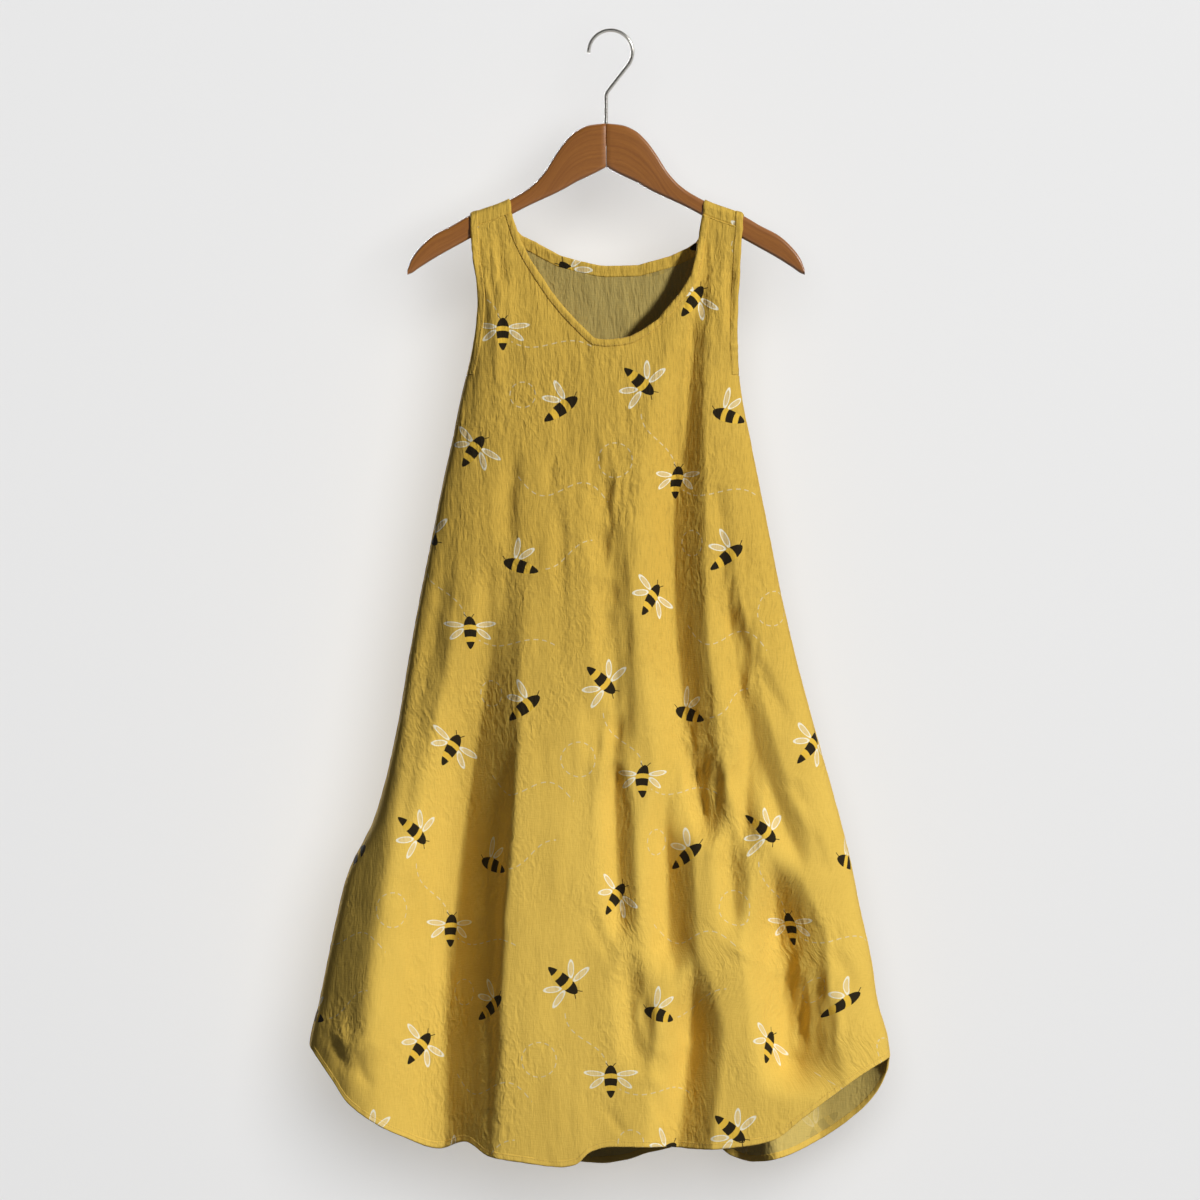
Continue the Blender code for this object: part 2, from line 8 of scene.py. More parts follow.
import bmesh
import bpy
import numpy as np
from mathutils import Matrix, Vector


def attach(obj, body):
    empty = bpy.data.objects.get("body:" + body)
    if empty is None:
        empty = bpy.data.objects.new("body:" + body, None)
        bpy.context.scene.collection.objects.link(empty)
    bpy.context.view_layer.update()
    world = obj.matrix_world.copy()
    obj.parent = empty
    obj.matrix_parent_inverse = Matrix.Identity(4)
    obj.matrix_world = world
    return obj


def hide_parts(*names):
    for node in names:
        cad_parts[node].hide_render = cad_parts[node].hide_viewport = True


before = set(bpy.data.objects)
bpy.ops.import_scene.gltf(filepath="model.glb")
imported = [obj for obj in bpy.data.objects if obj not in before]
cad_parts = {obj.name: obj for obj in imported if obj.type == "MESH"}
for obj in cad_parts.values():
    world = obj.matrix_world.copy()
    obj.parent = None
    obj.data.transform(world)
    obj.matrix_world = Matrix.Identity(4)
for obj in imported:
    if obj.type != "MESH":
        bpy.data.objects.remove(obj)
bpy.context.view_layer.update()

MM = 0.001

# Frame of the tables
HANGER_X = -5.0
CROWN_DROP = 100.8

# Hook and hanger
WIRE_RADIUS = 2.0
HOOK_RADIUS = 24.2
HOOK_TIP_ANGLE = 182.0
HOOK_LEAN = 38.0
HOOK_NECK_RADIUS = 12.0
HOOK_STEP = 4.0
HOOK_SIDES = 28
STRAIGHT_POINTS = 8
BEND_POINTS = 9
STEM_POINTS = 10
STEM_DEPTH = 25.0
HANGER_HALF = 6.0
HANGER_EDGE = 4.6
JOINT_HALF = 0.15
JOINT_BEVEL = 0.7
BEVEL_STEP = 0.25
BEVEL_SHARE = 0.4
HALF_GRAIN_SHIFT = 0.4
HANGER_SECTIONS = 110
CORNER_STEPS = 6

# Cloth
WALL = 0.9
SOLID_WALL = 1.4
SEAT_GAP = 0.6
UNDERARM = 277.6
SEAM_DROP = 16.0
SHOULDER_X = 148.5
SECTION_POWER = 2.4
NECK_BAND = {"front": 8.0, "back": 12.0}
NECK_TANGENT_REACH = 8
NECK_TOP_BLEND = 20.0
SEAM_CLEAR = 0.3

# Grid of each panel
GRIDS = {
    # face: columns, skirt rows, chest rows, strap rows, share of the width where a strap starts, strap foot
    "front": (84, 205, 26, 30, 0.473, 200.0),
    "back": (76, 170, 36, 20, 0.591, 152.0),
}
EDGE_RAMP = 8
WRAP_STEPS = 18
SEAM_STEPS = 3
BAND_STEPS = 4
STATION_ROUNDS = 6
STRAP_LEVEL_POWER = 6
FACING_REACH = 1.5
FACING_INSIDE = 0.999
WELD = 0.01

# Grid of distances over a panel: reach and step across, then first, last and step down
ARC_ACROSS = (345.0, 1.5)
ARC_DOWN = (70.0, 1160.0, 6.0)
ARC_RISE = 12.0

# Hanger half: distance out from the middle, top edge and lower edge as drops below the crown
HANGER_OUTLINE = (
    # out, top, bottom
    (0, 0, 48.5),
    (17, 1.8, 57.3),
    (32.5, 8.3, 64.5),
    (45, 19.9, 71.7),
    (55.7, 34.6, 77.2),
    (68, 53.9, 82.9),
    (82, 69, 89.3),
    (99, 80.4, 97.9),
    (115.8, 88.6, 107.5),
    (148.5, 100.6, 126),
    (170, 112.8, 137.9),
    (190.3, 123.6, 149.4),
    (205, 136.7, 158.8),
    (215, 150.6, 165.5),
    (219, 161.5, 167),
)

# Body of the dress: half widths, half depths, and how far the side edges stand from the middle plane
SECTIONS = (
    # drop, left, right, front, back, edge
    (80, 146, 154.5, 7.3, 7.3, 7.3),
    (104, 149.5, 152, 7.3, 7.3, 7.3),
    (128, 148, 148.7, 7.4, 7.4, 7.4),
    (151, 146, 147.4, 13, 12.5, 12),
    (172.8, 142.6, 146.6, 16, 15.5, 14),
    (195, 140.9, 144.8, 19, 18, 15),
    (235, 144.4, 144.2, 23, 21, 12),
    (277.6, 152.9, 145.8, 26, 24, 0.15),
    (305.1, 159.5, 149.3, 27.5, 25.5, 0.15),
    (349.2, 168.3, 158.1, 29.5, 27.5, 0.15),
    (393.4, 178.2, 166.9, 31.5, 29.5, 0.15),
    (459.5, 191.4, 180.2, 35, 32, 0.15),
    (525.7, 204.7, 193.4, 38.5, 35, 0.15),
    (591.9, 216.8, 208.9, 42, 38, 0.15),
    (658, 227.8, 226.5, 45, 41, 0.15),
    (724.2, 242.2, 245.2, 48, 44, 0.15),
    (768.3, 255.4, 257.4, 50, 46, 0.15),
    (790, 265.5, 263, 51, 47, 0.15),
    (812.4, 277.5, 268.4, 52, 47.5, 0.15),
    (834, 286, 273, 53, 48, 0.15),
    (856.5, 291.8, 277.2, 54, 49, 0.15),
    (922.7, 306.1, 291.6, 56.5, 51, 0.15),
    (966.8, 315, 298.2, 58, 52.5, 0.15),
    (1016, 326, 311, 59, 53.5, 0.15),
    (1150, 331, 320, 60, 55, 0.15),
)

# Necklines: drop and distance out from the middle, from the lowest point up to above the hanger
FRONT_NECK = (
    # drop, left, right
    (239.8, 0, 0),
    (238.4, 12.5, 16.5),
    (235.6, 16, 28.3),
    (228.4, 23.5, 41),
    (216.9, 35, 57.5),
    (203, 47.5, 68.8),
    (187.9, 59.5, 81.6),
    (167.6, 73, 94.2),
    (150, 84.2, 98.5),
    (131, 94, 102),
    (118, 98.8, 104),
    (104, 103.4, 106.5),
    (80, 109, 112),
)
BACK_NECK = (
    # drop, left, right
    (157.2, 0, 0),
    (156.3, 9, 35),
    (151.4, 30, 53),
    (146, 50, 71.5),
    (137.2, 67, 90.4),
    (131, 78, 99.5),
    (124, 93, 104),
    (112, 104, 108),
    (80, 114, 114),
)

# Hems: share of the half width, from the left side seam to the right one, and drop
FRONT_HEM = (
    # share, drop
    (-1, 1017),
    (-0.912, 1055),
    (-0.864, 1077),
    (-0.775, 1099),
    (-0.69, 1113.5),
    (-0.556, 1129),
    (-0.47, 1120.5),
    (-0.388, 1135.5),
    (-0.287, 1141),
    (-0.153, 1146.5),
    (-0.103, 1144),
    (-0.052, 1130),
    (0.015, 1124.5),
    (0.19, 1125.6),
    (0.33, 1127.8),
    (0.47, 1124.5),
    (0.575, 1117.9),
    (0.682, 1093.6),
    (0.79, 1069.3),
    (0.90, 1046.2),
    (1, 1029),
)
BACK_HEM = (
    # share, drop
    (-1, 1017),
    (-0.85, 1068),
    (-0.60, 1112),
    (-0.30, 1136),
    (-0.113, 1146),
    (-0.02, 1149.8),
    (0.068, 1146.5),
    (0.155, 1136.6),
    (0.26, 1128.9),
    (0.38, 1130),
    (0.434, 1141),
    (0.503, 1147),
    (0.608, 1141),
    (0.731, 1124.5),
    (0.853, 1099.2),
    (0.943, 1071.6),
    (0.99, 1044),
    (1, 1029),
)

# Main folds, as troughs: where each starts, is full and ends, the width of its two walls, and its depth
FRONT_FOLDS = (
    # top_drop, top_x, mid_drop, mid_x, low_drop, low_x, left_wall, right_wall, depth
    (430, -92, 812, -159, 1150, -177, 92, 55, 32),
    (150, 110, 440, 75, 760, 106, 46, 34, 20),
    (390, 131, 640, 153, 790, 204, 30, 22, 10),
    (660, 158, 725, 156, 770, 154, 26, 18, 9),
    (680, 66, 800, 67, 900, 70, 34, 30, 18),
    (640, 10, 770, 11, 870, 16, 26, 20, 11),
    (760, 136, 820, 138, 865, 141, 26, 18, 8),
    (790, 184, 900, 190, 1030, 206, 46, 52, 28),
    (900, 96, 1010, 92, 1150, 76, 40, 36, 20),
    (890, 25, 960, 27, 1010, 32, 26, 22, 7),
    (330, -2, 520, 8, 660, 14, 30, 20, 6),
    (420, -160, 600, -193, 760, -222, 22, 16, 5),
)
BACK_FOLDS = (
    # top_drop, top_x, mid_drop, mid_x, low_drop, low_x, left_wall, right_wall, depth
    (420, -92, 760, -136, 1150, -182, 54, 50, 26),
    (330, -24, 680, -36, 1150, -62, 40, 44, 22),
    (380, 40, 740, 52, 1150, 70, 40, 38, 24),
    (460, 96, 800, 142, 1150, 190, 46, 52, 26),
)
FOLD_FADE = 45.0
FOLD_TOP_WIDTH = 0.35
FOLD_EDGE_POWER = 10
EDGE_FREE = 60.0
FOLD_GAIN = 1.4
FOLD_CRISP = (0.0, 0.9)
CREASE_END = 0.34
CREASE_CRISP = (0.1, 0.5)
CREASE_SWAY = 1.6
SWAY_LENGTH = 23.0
SWAY_SEED = 11

# Small creases, those of the front placed as in the photograph. A depth below zero makes a ridge
FRONT_CREASES = (
    # top_drop, top_x, mid_drop, mid_x, low_drop, low_x, left_wall, right_wall, depth
    (349, -101, 388, -103, 482, -108, 22, 12, 5),
    (465, -127, 526, -130, 601, -136, 20, 14, 3.2),
    (846, -176, 956, -178, 1077, -180, 15, 10, 2.4),
    (923, -136, 1033, -134, 1110, -136, 15, 10, -0.9),
    (355, -58, 380, -59, 410, -58, 13, 8, 1.8),
    (391, -60, 477, -48, 570, -50, 15, 10, 2.4),
    (338, -13, 426, -12, 509, -6, 18, 22, 3.4),
    (493, -3, 548, -2, 601, -2, 15, 13, 2.6),
    (625, -13, 675, -11, 719, -2, 20, 29, 4),
    (526, 24, 561, 24, 596, 25, 11, 9, 1.8),
    (421, -172, 553, -194, 724, -227, 20, 13, 3),
    (640, -214, 880, -250, 1150, -304, 46, 60, -20),
    (812, -221, 879, -217, 956, -211, 13, 10, 2.4),
    (1000, -304, 1024, -291, 1050, -280, 15, 11, 3),
    (1011, -280, 1035, -271, 1066, -255, 13, 10, 2.6),
    (393, 124, 421, 124, 449, 126, 20, 14, 3.2),
    (509, 128, 581, 157, 686, 217, 24, 15, 5),
    (636, 138, 691, 142, 759, 153, 22, 18, 4.5),
    (719, 201, 737, 212, 759, 223, 15, 11, 3.2),
    (766, 221, 801, 233, 834, 247, 18, 11, 3.6),
    (903, 252, 934, 265, 965, 276, 18, 11, 3.6),
    (807, 188, 868, 190, 939, 197, 22, 29, 4),
    (923, 197, 978, 210, 1044, 243, 22, 40, 6),
    (928, 93, 1011, 92, 1077, 84, 20, 20, 4),
    (912, 73, 932, 74, 958, 75, 13, 14, 2.8),
    (1018, 56, 1035, 57, 1055, 59, 13, 15, 2.8),
    (862, -22, 895, -6, 928, 11, 13, 10, 2.4),
    (1077, -2, 1099, 11, 1117, 25, 11, 9, 2),
    (1050, 47, 1077, 58, 1105, 69, 13, 10, 2.4),
    (895, 122, 917, 159, 945, 203, 15, 15, -2.4),
    (160, 104, 300, 92, 430, 84, 10, 22, 6),
    (600, -84, 850, -106, 1190, -112, 14, 120, -10),
    (118, -139, 178, -139, 256, -136, 13, 17, 5.5),
    (116, -117, 142, -116, 186, -114, 9, 8, 2.6),
    (118, -127, 160, -127, 214, -124, 7, 7, 2),
    (195, -123, 239, -121, 327, -116, 11, 13, -1.6),
    (246, -150, 300, -152, 356, -158, 9, 14, 3.6),
    (114, 108, 162, 107, 230, 104, 11, 13, 4.6),
    (116, 121, 156, 122, 200, 124, 8, 8, 2.2),
    (140, 137, 186, 137, 240, 138, 11, 8, 3.6),
)
BACK_CREASES = (
    # top_drop, top_x, mid_drop, mid_x, low_drop, low_x, left_wall, right_wall, depth
    (190, -112, 250, -108, 330, -104, 16, 12, 3),
    (200, 108, 262, 103, 340, 101, 12, 16, 3),
    (300, -60, 420, -58, 540, -66, 20, 14, 3),
    (320, 8, 450, 4, 600, 12, 18, 20, 3.2),
    (300, 78, 400, 72, 520, 80, 14, 20, 3),
    (500, -150, 620, -166, 760, -200, 24, 16, 4.4),
    (520, 140, 640, 158, 780, 196, 16, 24, 4.6),
    (640, -84, 740, -88, 860, -84, 20, 14, 3.2),
    (700, 96, 800, 102, 900, 118, 16, 18, 3.4),
    (760, -6, 860, -4, 960, 4, 18, 14, 3),
    (860, -228, 960, -242, 1080, -262, 22, 16, 5),
    (880, 232, 980, 240, 1090, 262, 18, 24, 5),
    (930, -118, 1010, -112, 1110, -118, 16, 20, 3.6),
    (940, 36, 1030, 30, 1120, 24, 22, 16, 3.8),
    (980, 128, 1050, 138, 1120, 150, 16, 16, 3),
)

# Crinkles of the cloth: size across and down, height, and the seed of their pattern
CRINKLES = (
    # across, down, height, seed
    (62, 150, 1.5, 3),
    (26, 70, 0.9, 5),
    (11.5, 44, 0.55, 7),
)
CRINKLE_SHIFT = {"front": 40.0, "back": 120.0}
CRINKLE_WARP = 14.0
WARP_ACROSS = 70.0
WARP_DOWN = 120.0

# Crumpled patches: small sharp ridges, strongest in the middle of each
FRONT_CRUMPLES = (
    # x, drop, half width, half height, ridge height
    (4, 450, 46, 160, 3),
    (8, 690, 34, 100, 3.4),
    (108, 705, 60, 110, 3.6),
    (150, 548, 42, 150, 3),
    (218, 960, 84, 120, 4.2),
    (50, 950, 64, 130, 3.2),
    (-280, 1015, 46, 70, 3.6),
    (-212, 890, 34, 100, 2.4),
    (-118, 200, 40, 90, 1.6),
    (118, 200, 36, 90, 1.6),
    (-186, 560, 26, 150, 2),
)
BACK_CRUMPLES = (
    # x, drop, half width, half height, ridge height
    (-40, 420, 70, 150, 2.6),
    (90, 560, 60, 170, 2.8),
    (-140, 760, 80, 150, 3),
    (180, 900, 90, 150, 3.6),
    (-20, 960, 90, 140, 3.2),
    (-250, 1000, 60, 90, 3.2),
)
CRUMPLE_SPREAD = 1.3
RIDGE_ACROSS = 17.0
RIDGE_DOWN = 52.0
RIDGE_SLANT = 0.12
RIDGE_WARP = 0.35
RIDGE_STEEP = 2.2
RIDGE_SHIFT = 7.0
RIDGE_SEED = 13
FINE_ACROSS = 2.1
FINE_DOWN = 1.8
FINE_SHARE = 0.35
FINE_SEED = 17
WARP_SEED = 2
CALM_DROP = 118.0
CALM_REACH = 60.0
CALM_SHARE = 0.25
CALM_RISE = 0.45

# Sewing
HEM_COLUMNS = 180
ARMHOLE_ROWS = (110, 120)
ARMHOLE_INSET = 1.6
FACING_END = 110.0
FACING_GAP = 2.0
TIP_SHARE = 0.75
FINE_PUCKER = 0.26
FINE_PUCKER_LENGTH = 5.5
LONG_PUCKER = 0.22
LONG_PUCKER_LENGTH = 17.0
SIDE_SEAM_POINTS = 260
SHOULDER_SEAM_POINTS = 30
SEAM_RADIUS = 1.1
SEAM_SWELL = 0.18
SEAM_SWELL_LENGTH = 6.0
STITCH_PITCH = 3.4
STITCH_LENGTH = 2.3
STITCH_RADIUS = 0.28
STITCH_FLATNESS = 0.7
STITCH_SIDES = 6
STITCH_PROFILE = (
    # place along half the stitch, share of the radius
    (-1, 0.15),
    (-0.7, 0.8),
    (0, 1),
    (0.7, 0.8),
    (1, 0.15),
)

# Folded edges: distance in from the edge, and how far the fold stands out on the right and wrong side
HEM_FOLD = (
    # inward, right side, wrong side
    (0, 1, 1),
    (1.2, 1.1, 1.15),
    (3.4, 0.85, 1),
    (5, 0.6, 0.85),
    (6, 0.66, 0.85),
    (6.8, 0.46, 0.5),
)
NECK_ROLL = (
    # inward, right side, wrong side
    (0, 1.3, 1.1),
    (1.4, 1.9, 1.3),
    (3.4, 2, 1.2),
    (5.4, 1.5, 0.9),
    (6.6, 1.35, 0.8),
    (7.6, 0.5, 0.5),
)
ARMHOLE_ROLL = (
    # inward, right side, wrong side
    (0, 1.2, 1),
    (1.3, 1.6, 1.2),
    (3.4, 1.6, 1.1),
    (5.6, 1.1, 0.8),
    (6.8, 1.15, 0.7),
    (7.9, 0.5, 0.5),
)
FACING_FOLD = (
    # inward, right side, wrong side
    (0, 0.75, 0.9),
    (1.5, 0.8, 1.2),
    (6, 0.5, 1.15),
    (9.8, 0.46, 0.95),
    (11, 0.46, 1.1),
    (11.9, 0.46, 0.5),
)
EDGES = {
    # kind: fold, distance of the stitches in from the edge, their rise, seed
    "hem": (HEM_FOLD, 5.2, 0.05, 21),
    "neck": (NECK_ROLL, 6.0, 0.12, 31),
    "facing": (FACING_FOLD, 10.0, 0.1, 33),
    "armhole": (ARMHOLE_ROLL, 6.4, 0.12, 41),
}
SEAM_SEED = 51
FACES = ("front", "back")
SIDES = ((-1, "left"), (1, "right"))


def curve_through(rows, key, value):
    """A smooth function through two columns of a table."""
    ordered = sorted(rows, key=lambda row: row[key])
    at = np.array([row[key] for row in ordered], float)
    height = np.array([row[value] for row in ordered], float)
    secant = np.diff(height) / np.diff(at)
    slope = np.zeros(len(at))
    for i in range(1, len(at) - 1):
        if secant[i - 1] * secant[i] > 0:
            slope[i] = 2 * secant[i - 1] * secant[i] / (secant[i - 1] + secant[i])
    slope[0] = secant[0]
    slope[-1] = secant[-1]

    def read(where):
        where = np.clip(np.asarray(where, float), at[0], at[-1])
        i = np.minimum(np.searchsorted(at, where, side="right") - 1, len(at) - 2)
        step = at[i + 1] - at[i]
        t = (where - at[i]) / step
        return (
            height[i] * (1 + 2 * t) * (1 - t) ** 2
            + slope[i] * step * t * (1 - t) ** 2
            + height[i + 1] * t * t * (3 - 2 * t)
            + slope[i + 1] * step * t * t * (t - 1)
        )

    return read


hanger_top = curve_through(HANGER_OUTLINE, 0, 1)
hanger_bottom = curve_through(HANGER_OUTLINE, 0, 2)
half_width = {-1: curve_through(SECTIONS, 0, 1), 1: curve_through(SECTIONS, 0, 2)}
half_depth = {"front": curve_through(SECTIONS, 0, 3), "back": curve_through(SECTIONS, 0, 4)}
edge_depth = curve_through(SECTIONS, 0, 5)
hem_drop = {"front": curve_through(FRONT_HEM, 0, 1), "back": curve_through(BACK_HEM, 0, 1)}
necks = {"front": FRONT_NECK, "back": BACK_NECK}
folds = {"front": FRONT_FOLDS, "back": BACK_FOLDS}
creases = {"front": FRONT_CREASES, "back": BACK_CREASES}
crumples = {"front": FRONT_CRUMPLES, "back": BACK_CRUMPLES}
towards = {"front": -1, "back": 1}


def smooth_step(value):
    value = np.clip(value, 0.0, 1.0)
    return value * value * (3 - 2 * value)


ROUGH_CELLS = 128


def roughness(x, y, seed):
    """Smooth noise from -1 to 1, with a unit cell."""
    values = np.random.RandomState(seed).uniform(-1, 1, (ROUGH_CELLS, ROUGH_CELLS))
    column, row = np.floor(x).astype(int), np.floor(y).astype(int)
    right, up = smooth_step(x - column), smooth_step(y - row)

    def at(i, j):
        return values[(column + i) % ROUGH_CELLS, (row + j) % ROUGH_CELLS]

    low = at(0, 0) * (1 - right) + at(1, 0) * right
    high = at(0, 1) * (1 - right) + at(1, 1) * right
    return low * (1 - up) + high * up


def fold_line(fold, drop):
    """The lowest line of a fold, and how far along it a point is."""
    top_drop, top_x, mid_drop, mid_x, low_drop, low_x = fold[:6]
    along = (drop - top_drop) / (low_drop - top_drop)
    middle = (mid_drop - top_drop) / (low_drop - top_drop)
    bend = (mid_x - top_x - (low_x - top_x) * middle) / (middle * (middle - 1))
    return top_x + (low_x - top_x - bend) * along + bend * along * along, along, middle


def wall_profile(reach, crisp):
    """Depth across a fold's wall, from 1 at its line to 0: a soft curve mixed with a straight slope."""
    reach = np.minimum(reach, 1.0)
    return (1 - crisp) * 0.5 * (1 + np.cos(math.pi * reach)) + crisp * (1 - reach)


def trough(fold, x, drop):
    """How far one of the main folds sinks the cloth."""
    low_drop, left_wall, right_wall, depth = fold[4], fold[6], fold[7], fold[8]
    line, along, middle = fold_line(fold, drop)
    grown = smooth_step(along / middle)
    wall = np.where(x < line, left_wall, right_wall) * (FOLD_TOP_WIDTH + (1 - FOLD_TOP_WIDTH) * grown)
    ending = 1 - smooth_step((drop - low_drop) / FOLD_FADE)
    crisp = np.where(x < line, *FOLD_CRISP)
    return FOLD_GAIN * depth * grown * ending * wall_profile(np.abs(x - line) / wall, crisp)


def crease(fold, x, drop):
    """How far a small crease sinks the cloth. It dies away at both ends."""
    left_wall, right_wall, depth = fold[6:9]
    line, along, _ = fold_line(fold, drop)
    grown = smooth_step(np.minimum(along, 1 - along) / CREASE_END)
    line = line + CREASE_SWAY * roughness(drop / SWAY_LENGTH, drop * 0 + left_wall, SWAY_SEED)
    wall = np.where(x < line, left_wall, right_wall)
    crisp = np.where((x < line) == (depth > 0), *CREASE_CRISP)
    return depth * grown * wall_profile(np.abs(x - line) / wall, crisp)


def crinkle(face, x, drop):
    """Uneven crinkles, mostly running down. Where the cloth lies on the hanger they only stand out."""
    shift = CRINKLE_SHIFT[face]
    warp = CRINKLE_WARP * roughness(x / WARP_ACROSS + shift, drop / WARP_DOWN, WARP_SEED)
    height = 0.0
    for across, down, rise, seed in CRINKLES:
        height = height + rise * roughness((x + warp) / across + shift, drop / down, seed)
    ridges = 0.0
    for middle, level, reach, tall, rise in crumples[face]:
        near = 1 - np.hypot((x - middle) / reach, (drop - level) / tall)
        ridges = ridges + rise * smooth_step(CRUMPLE_SPREAD * near)
    slant = (x - RIDGE_WARP * warp) / RIDGE_ACROSS + RIDGE_SLANT * drop / RIDGE_DOWN
    sharp = roughness(slant + shift, drop / RIDGE_DOWN + RIDGE_SHIFT, RIDGE_SEED)
    sharp = 1 - RIDGE_STEEP * np.abs(sharp)
    fine = roughness(FINE_ACROSS * slant + shift, FINE_DOWN * drop / RIDGE_DOWN, FINE_SEED)
    fine = 1 - RIDGE_STEEP * np.abs(fine)
    height = height + ridges * ((1 - FINE_SHARE) * sharp + FINE_SHARE * fine)
    calm = smooth_step((drop - CALM_DROP) / CALM_REACH)
    return height * (CALM_SHARE + (1 - CALM_SHARE) * calm) + CALM_RISE * (1 - calm)


def cloth_depth(face, x, drop):
    """Distance of a panel's middle surface from the middle plane."""
    width = np.where(x < 0, half_width[-1](drop), half_width[1](drop))
    share = np.minimum(np.abs(x) / width, 1.0)
    edge = edge_depth(drop)
    crown = (1 - share**SECTION_POWER) ** (1 / SECTION_POWER)
    inner = 1 - share**FOLD_EDGE_POWER * smooth_step(1 + (drop - UNDERARM) / EDGE_FREE)
    sunk = sum(trough(fold, x, drop) for fold in folds[face])
    sunk = sunk + sum(crease(fold, x, drop) for fold in creases[face])
    raised = crinkle(face, x, drop)
    return edge + (half_depth[face](drop) - edge) * crown + (raised - sunk) * inner


def place(x, depth, drop):
    """Table millimetres, as points in the part's frame."""
    return np.stack(np.broadcast_arrays(HANGER_X + x, depth, -CROWN_DROP - drop), axis=-1) * MM


def cloth_point(face, x, drop):
    return place(x, towards[face] * cloth_depth(face, x, drop), drop)


def cloth_facing(face, x, drop):
    """Directions that a panel faces."""
    reach = FACING_REACH
    slope_x = (cloth_depth(face, x + reach, drop) - cloth_depth(face, x - reach, drop)) / (2 * reach)
    slope_drop = (cloth_depth(face, x, drop + reach) - cloth_depth(face, x, drop - reach)) / (2 * reach)
    facing = np.stack(np.broadcast_arrays(-slope_x, float(towards[face]), slope_drop), axis=-1)
    return facing / np.linalg.norm(facing, axis=-1, keepdims=True)


def travel(points):
    """Distance travelled at each point of a line, from its first one."""
    return np.concatenate(([0.0], np.cumsum(np.linalg.norm(np.diff(points, axis=0), axis=1))))


def shoulder_rise(face):
    """Drop of a panel's last flat row below the hanger's top edge. The back's is at the bar's middle."""
    return HANGER_HALF if face == "back" else SEAM_DROP + SEAM_CLEAR


def neck_lines(face, side):
    """Half a neckline and the line beside it, a point a millimetre, from the middle up."""
    rise = shoulder_rise(face)
    corners = np.array([(side * row[1 if side < 0 else 2], row[0]) for row in necks[face]])
    travelled = travel(corners)
    steps = np.arange(0.0, travelled[-1], 1.0)
    neck = np.stack([np.interp(steps, travelled, corners[:, axis]) for axis in (0, 1)], axis=1)
    neck = neck[neck[:, 1] > hanger_top(np.abs(neck[:, 0])) + rise]
    neck[-1, 1] = hanger_top(abs(neck[-1, 0])) + rise
    mirrored = neck[NECK_TANGENT_REACH:0:-1] * (-1, 1)
    ends = np.repeat(neck[-1:], NECK_TANGENT_REACH, axis=0)
    long = np.concatenate((mirrored, neck, ends))
    low, high = long[: len(neck)], long[2 * NECK_TANGENT_REACH :]
    run, climb = side * (high[:, 0] - low[:, 0]), low[:, 1] - high[:, 1]
    square_on = np.stack((side * climb, run), axis=1) / np.hypot(run, climb)[:, None]
    level = smooth_step(1 - np.arange(len(neck))[::-1] / NECK_TOP_BLEND)[:, None]
    out = square_on * (1 - level) + np.array((side, 0.0)) * level
    beside = neck + out * NECK_BAND[face]
    beside[0, 0] = 0.0
    beside[-1, 1] = hanger_top(abs(beside[-1, 0])) + rise
    return neck, beside


def at_station(line, station):
    count = np.arange(len(line))
    return np.stack([np.interp(station, count, line[:, axis]) for axis in (0, 1)], axis=-1)


def column_shares(columns):
    """Shares of the half width, from the outer edge to the middle, closer together at the edge."""
    weights = np.minimum(1.0, (np.arange(columns) + 1) / EDGE_RAMP)
    travelled = np.concatenate(([0.0], np.cumsum(weights)))
    return 1 - travelled / travelled[-1]


def seam_ends(side):
    """Where the shoulder seam meets the armhole and the neckline in front, as distances across."""
    outer = side * half_width[side](hanger_top(SHOULDER_X) + shoulder_rise("front"))
    return float(outer), float(neck_lines("front", side)[0][-1][0])


def over_hanger(start, end):
    """Rows that take the back strap over the hanger to the shoulder seam in front, and their directions."""
    radius = HANGER_HALF + SEAT_GAP + SOLID_WALL / 2
    rows, facings = [], []
    for step in range(1, WRAP_STEPS + SEAM_STEPS + 1):
        angle = math.pi * min(step / WRAP_STEPS, 1.0)
        past = max(step - WRAP_STEPS, 0) / SEAM_STEPS
        drift = smooth_step(step / (WRAP_STEPS + SEAM_STEPS))
        x = start + (end - start) * drift
        sunk = HANGER_HALF - radius * math.sin(angle)
        sunk = sunk + (SEAM_DROP - sunk) * past
        rows.append(place(x, radius * math.cos(angle), hanger_top(np.abs(x)) + sunk))
        facings.append(np.tile((0.0, math.cos(angle), math.sin(angle)), (len(x), 1)))
    return np.array(rows), np.array(facings)


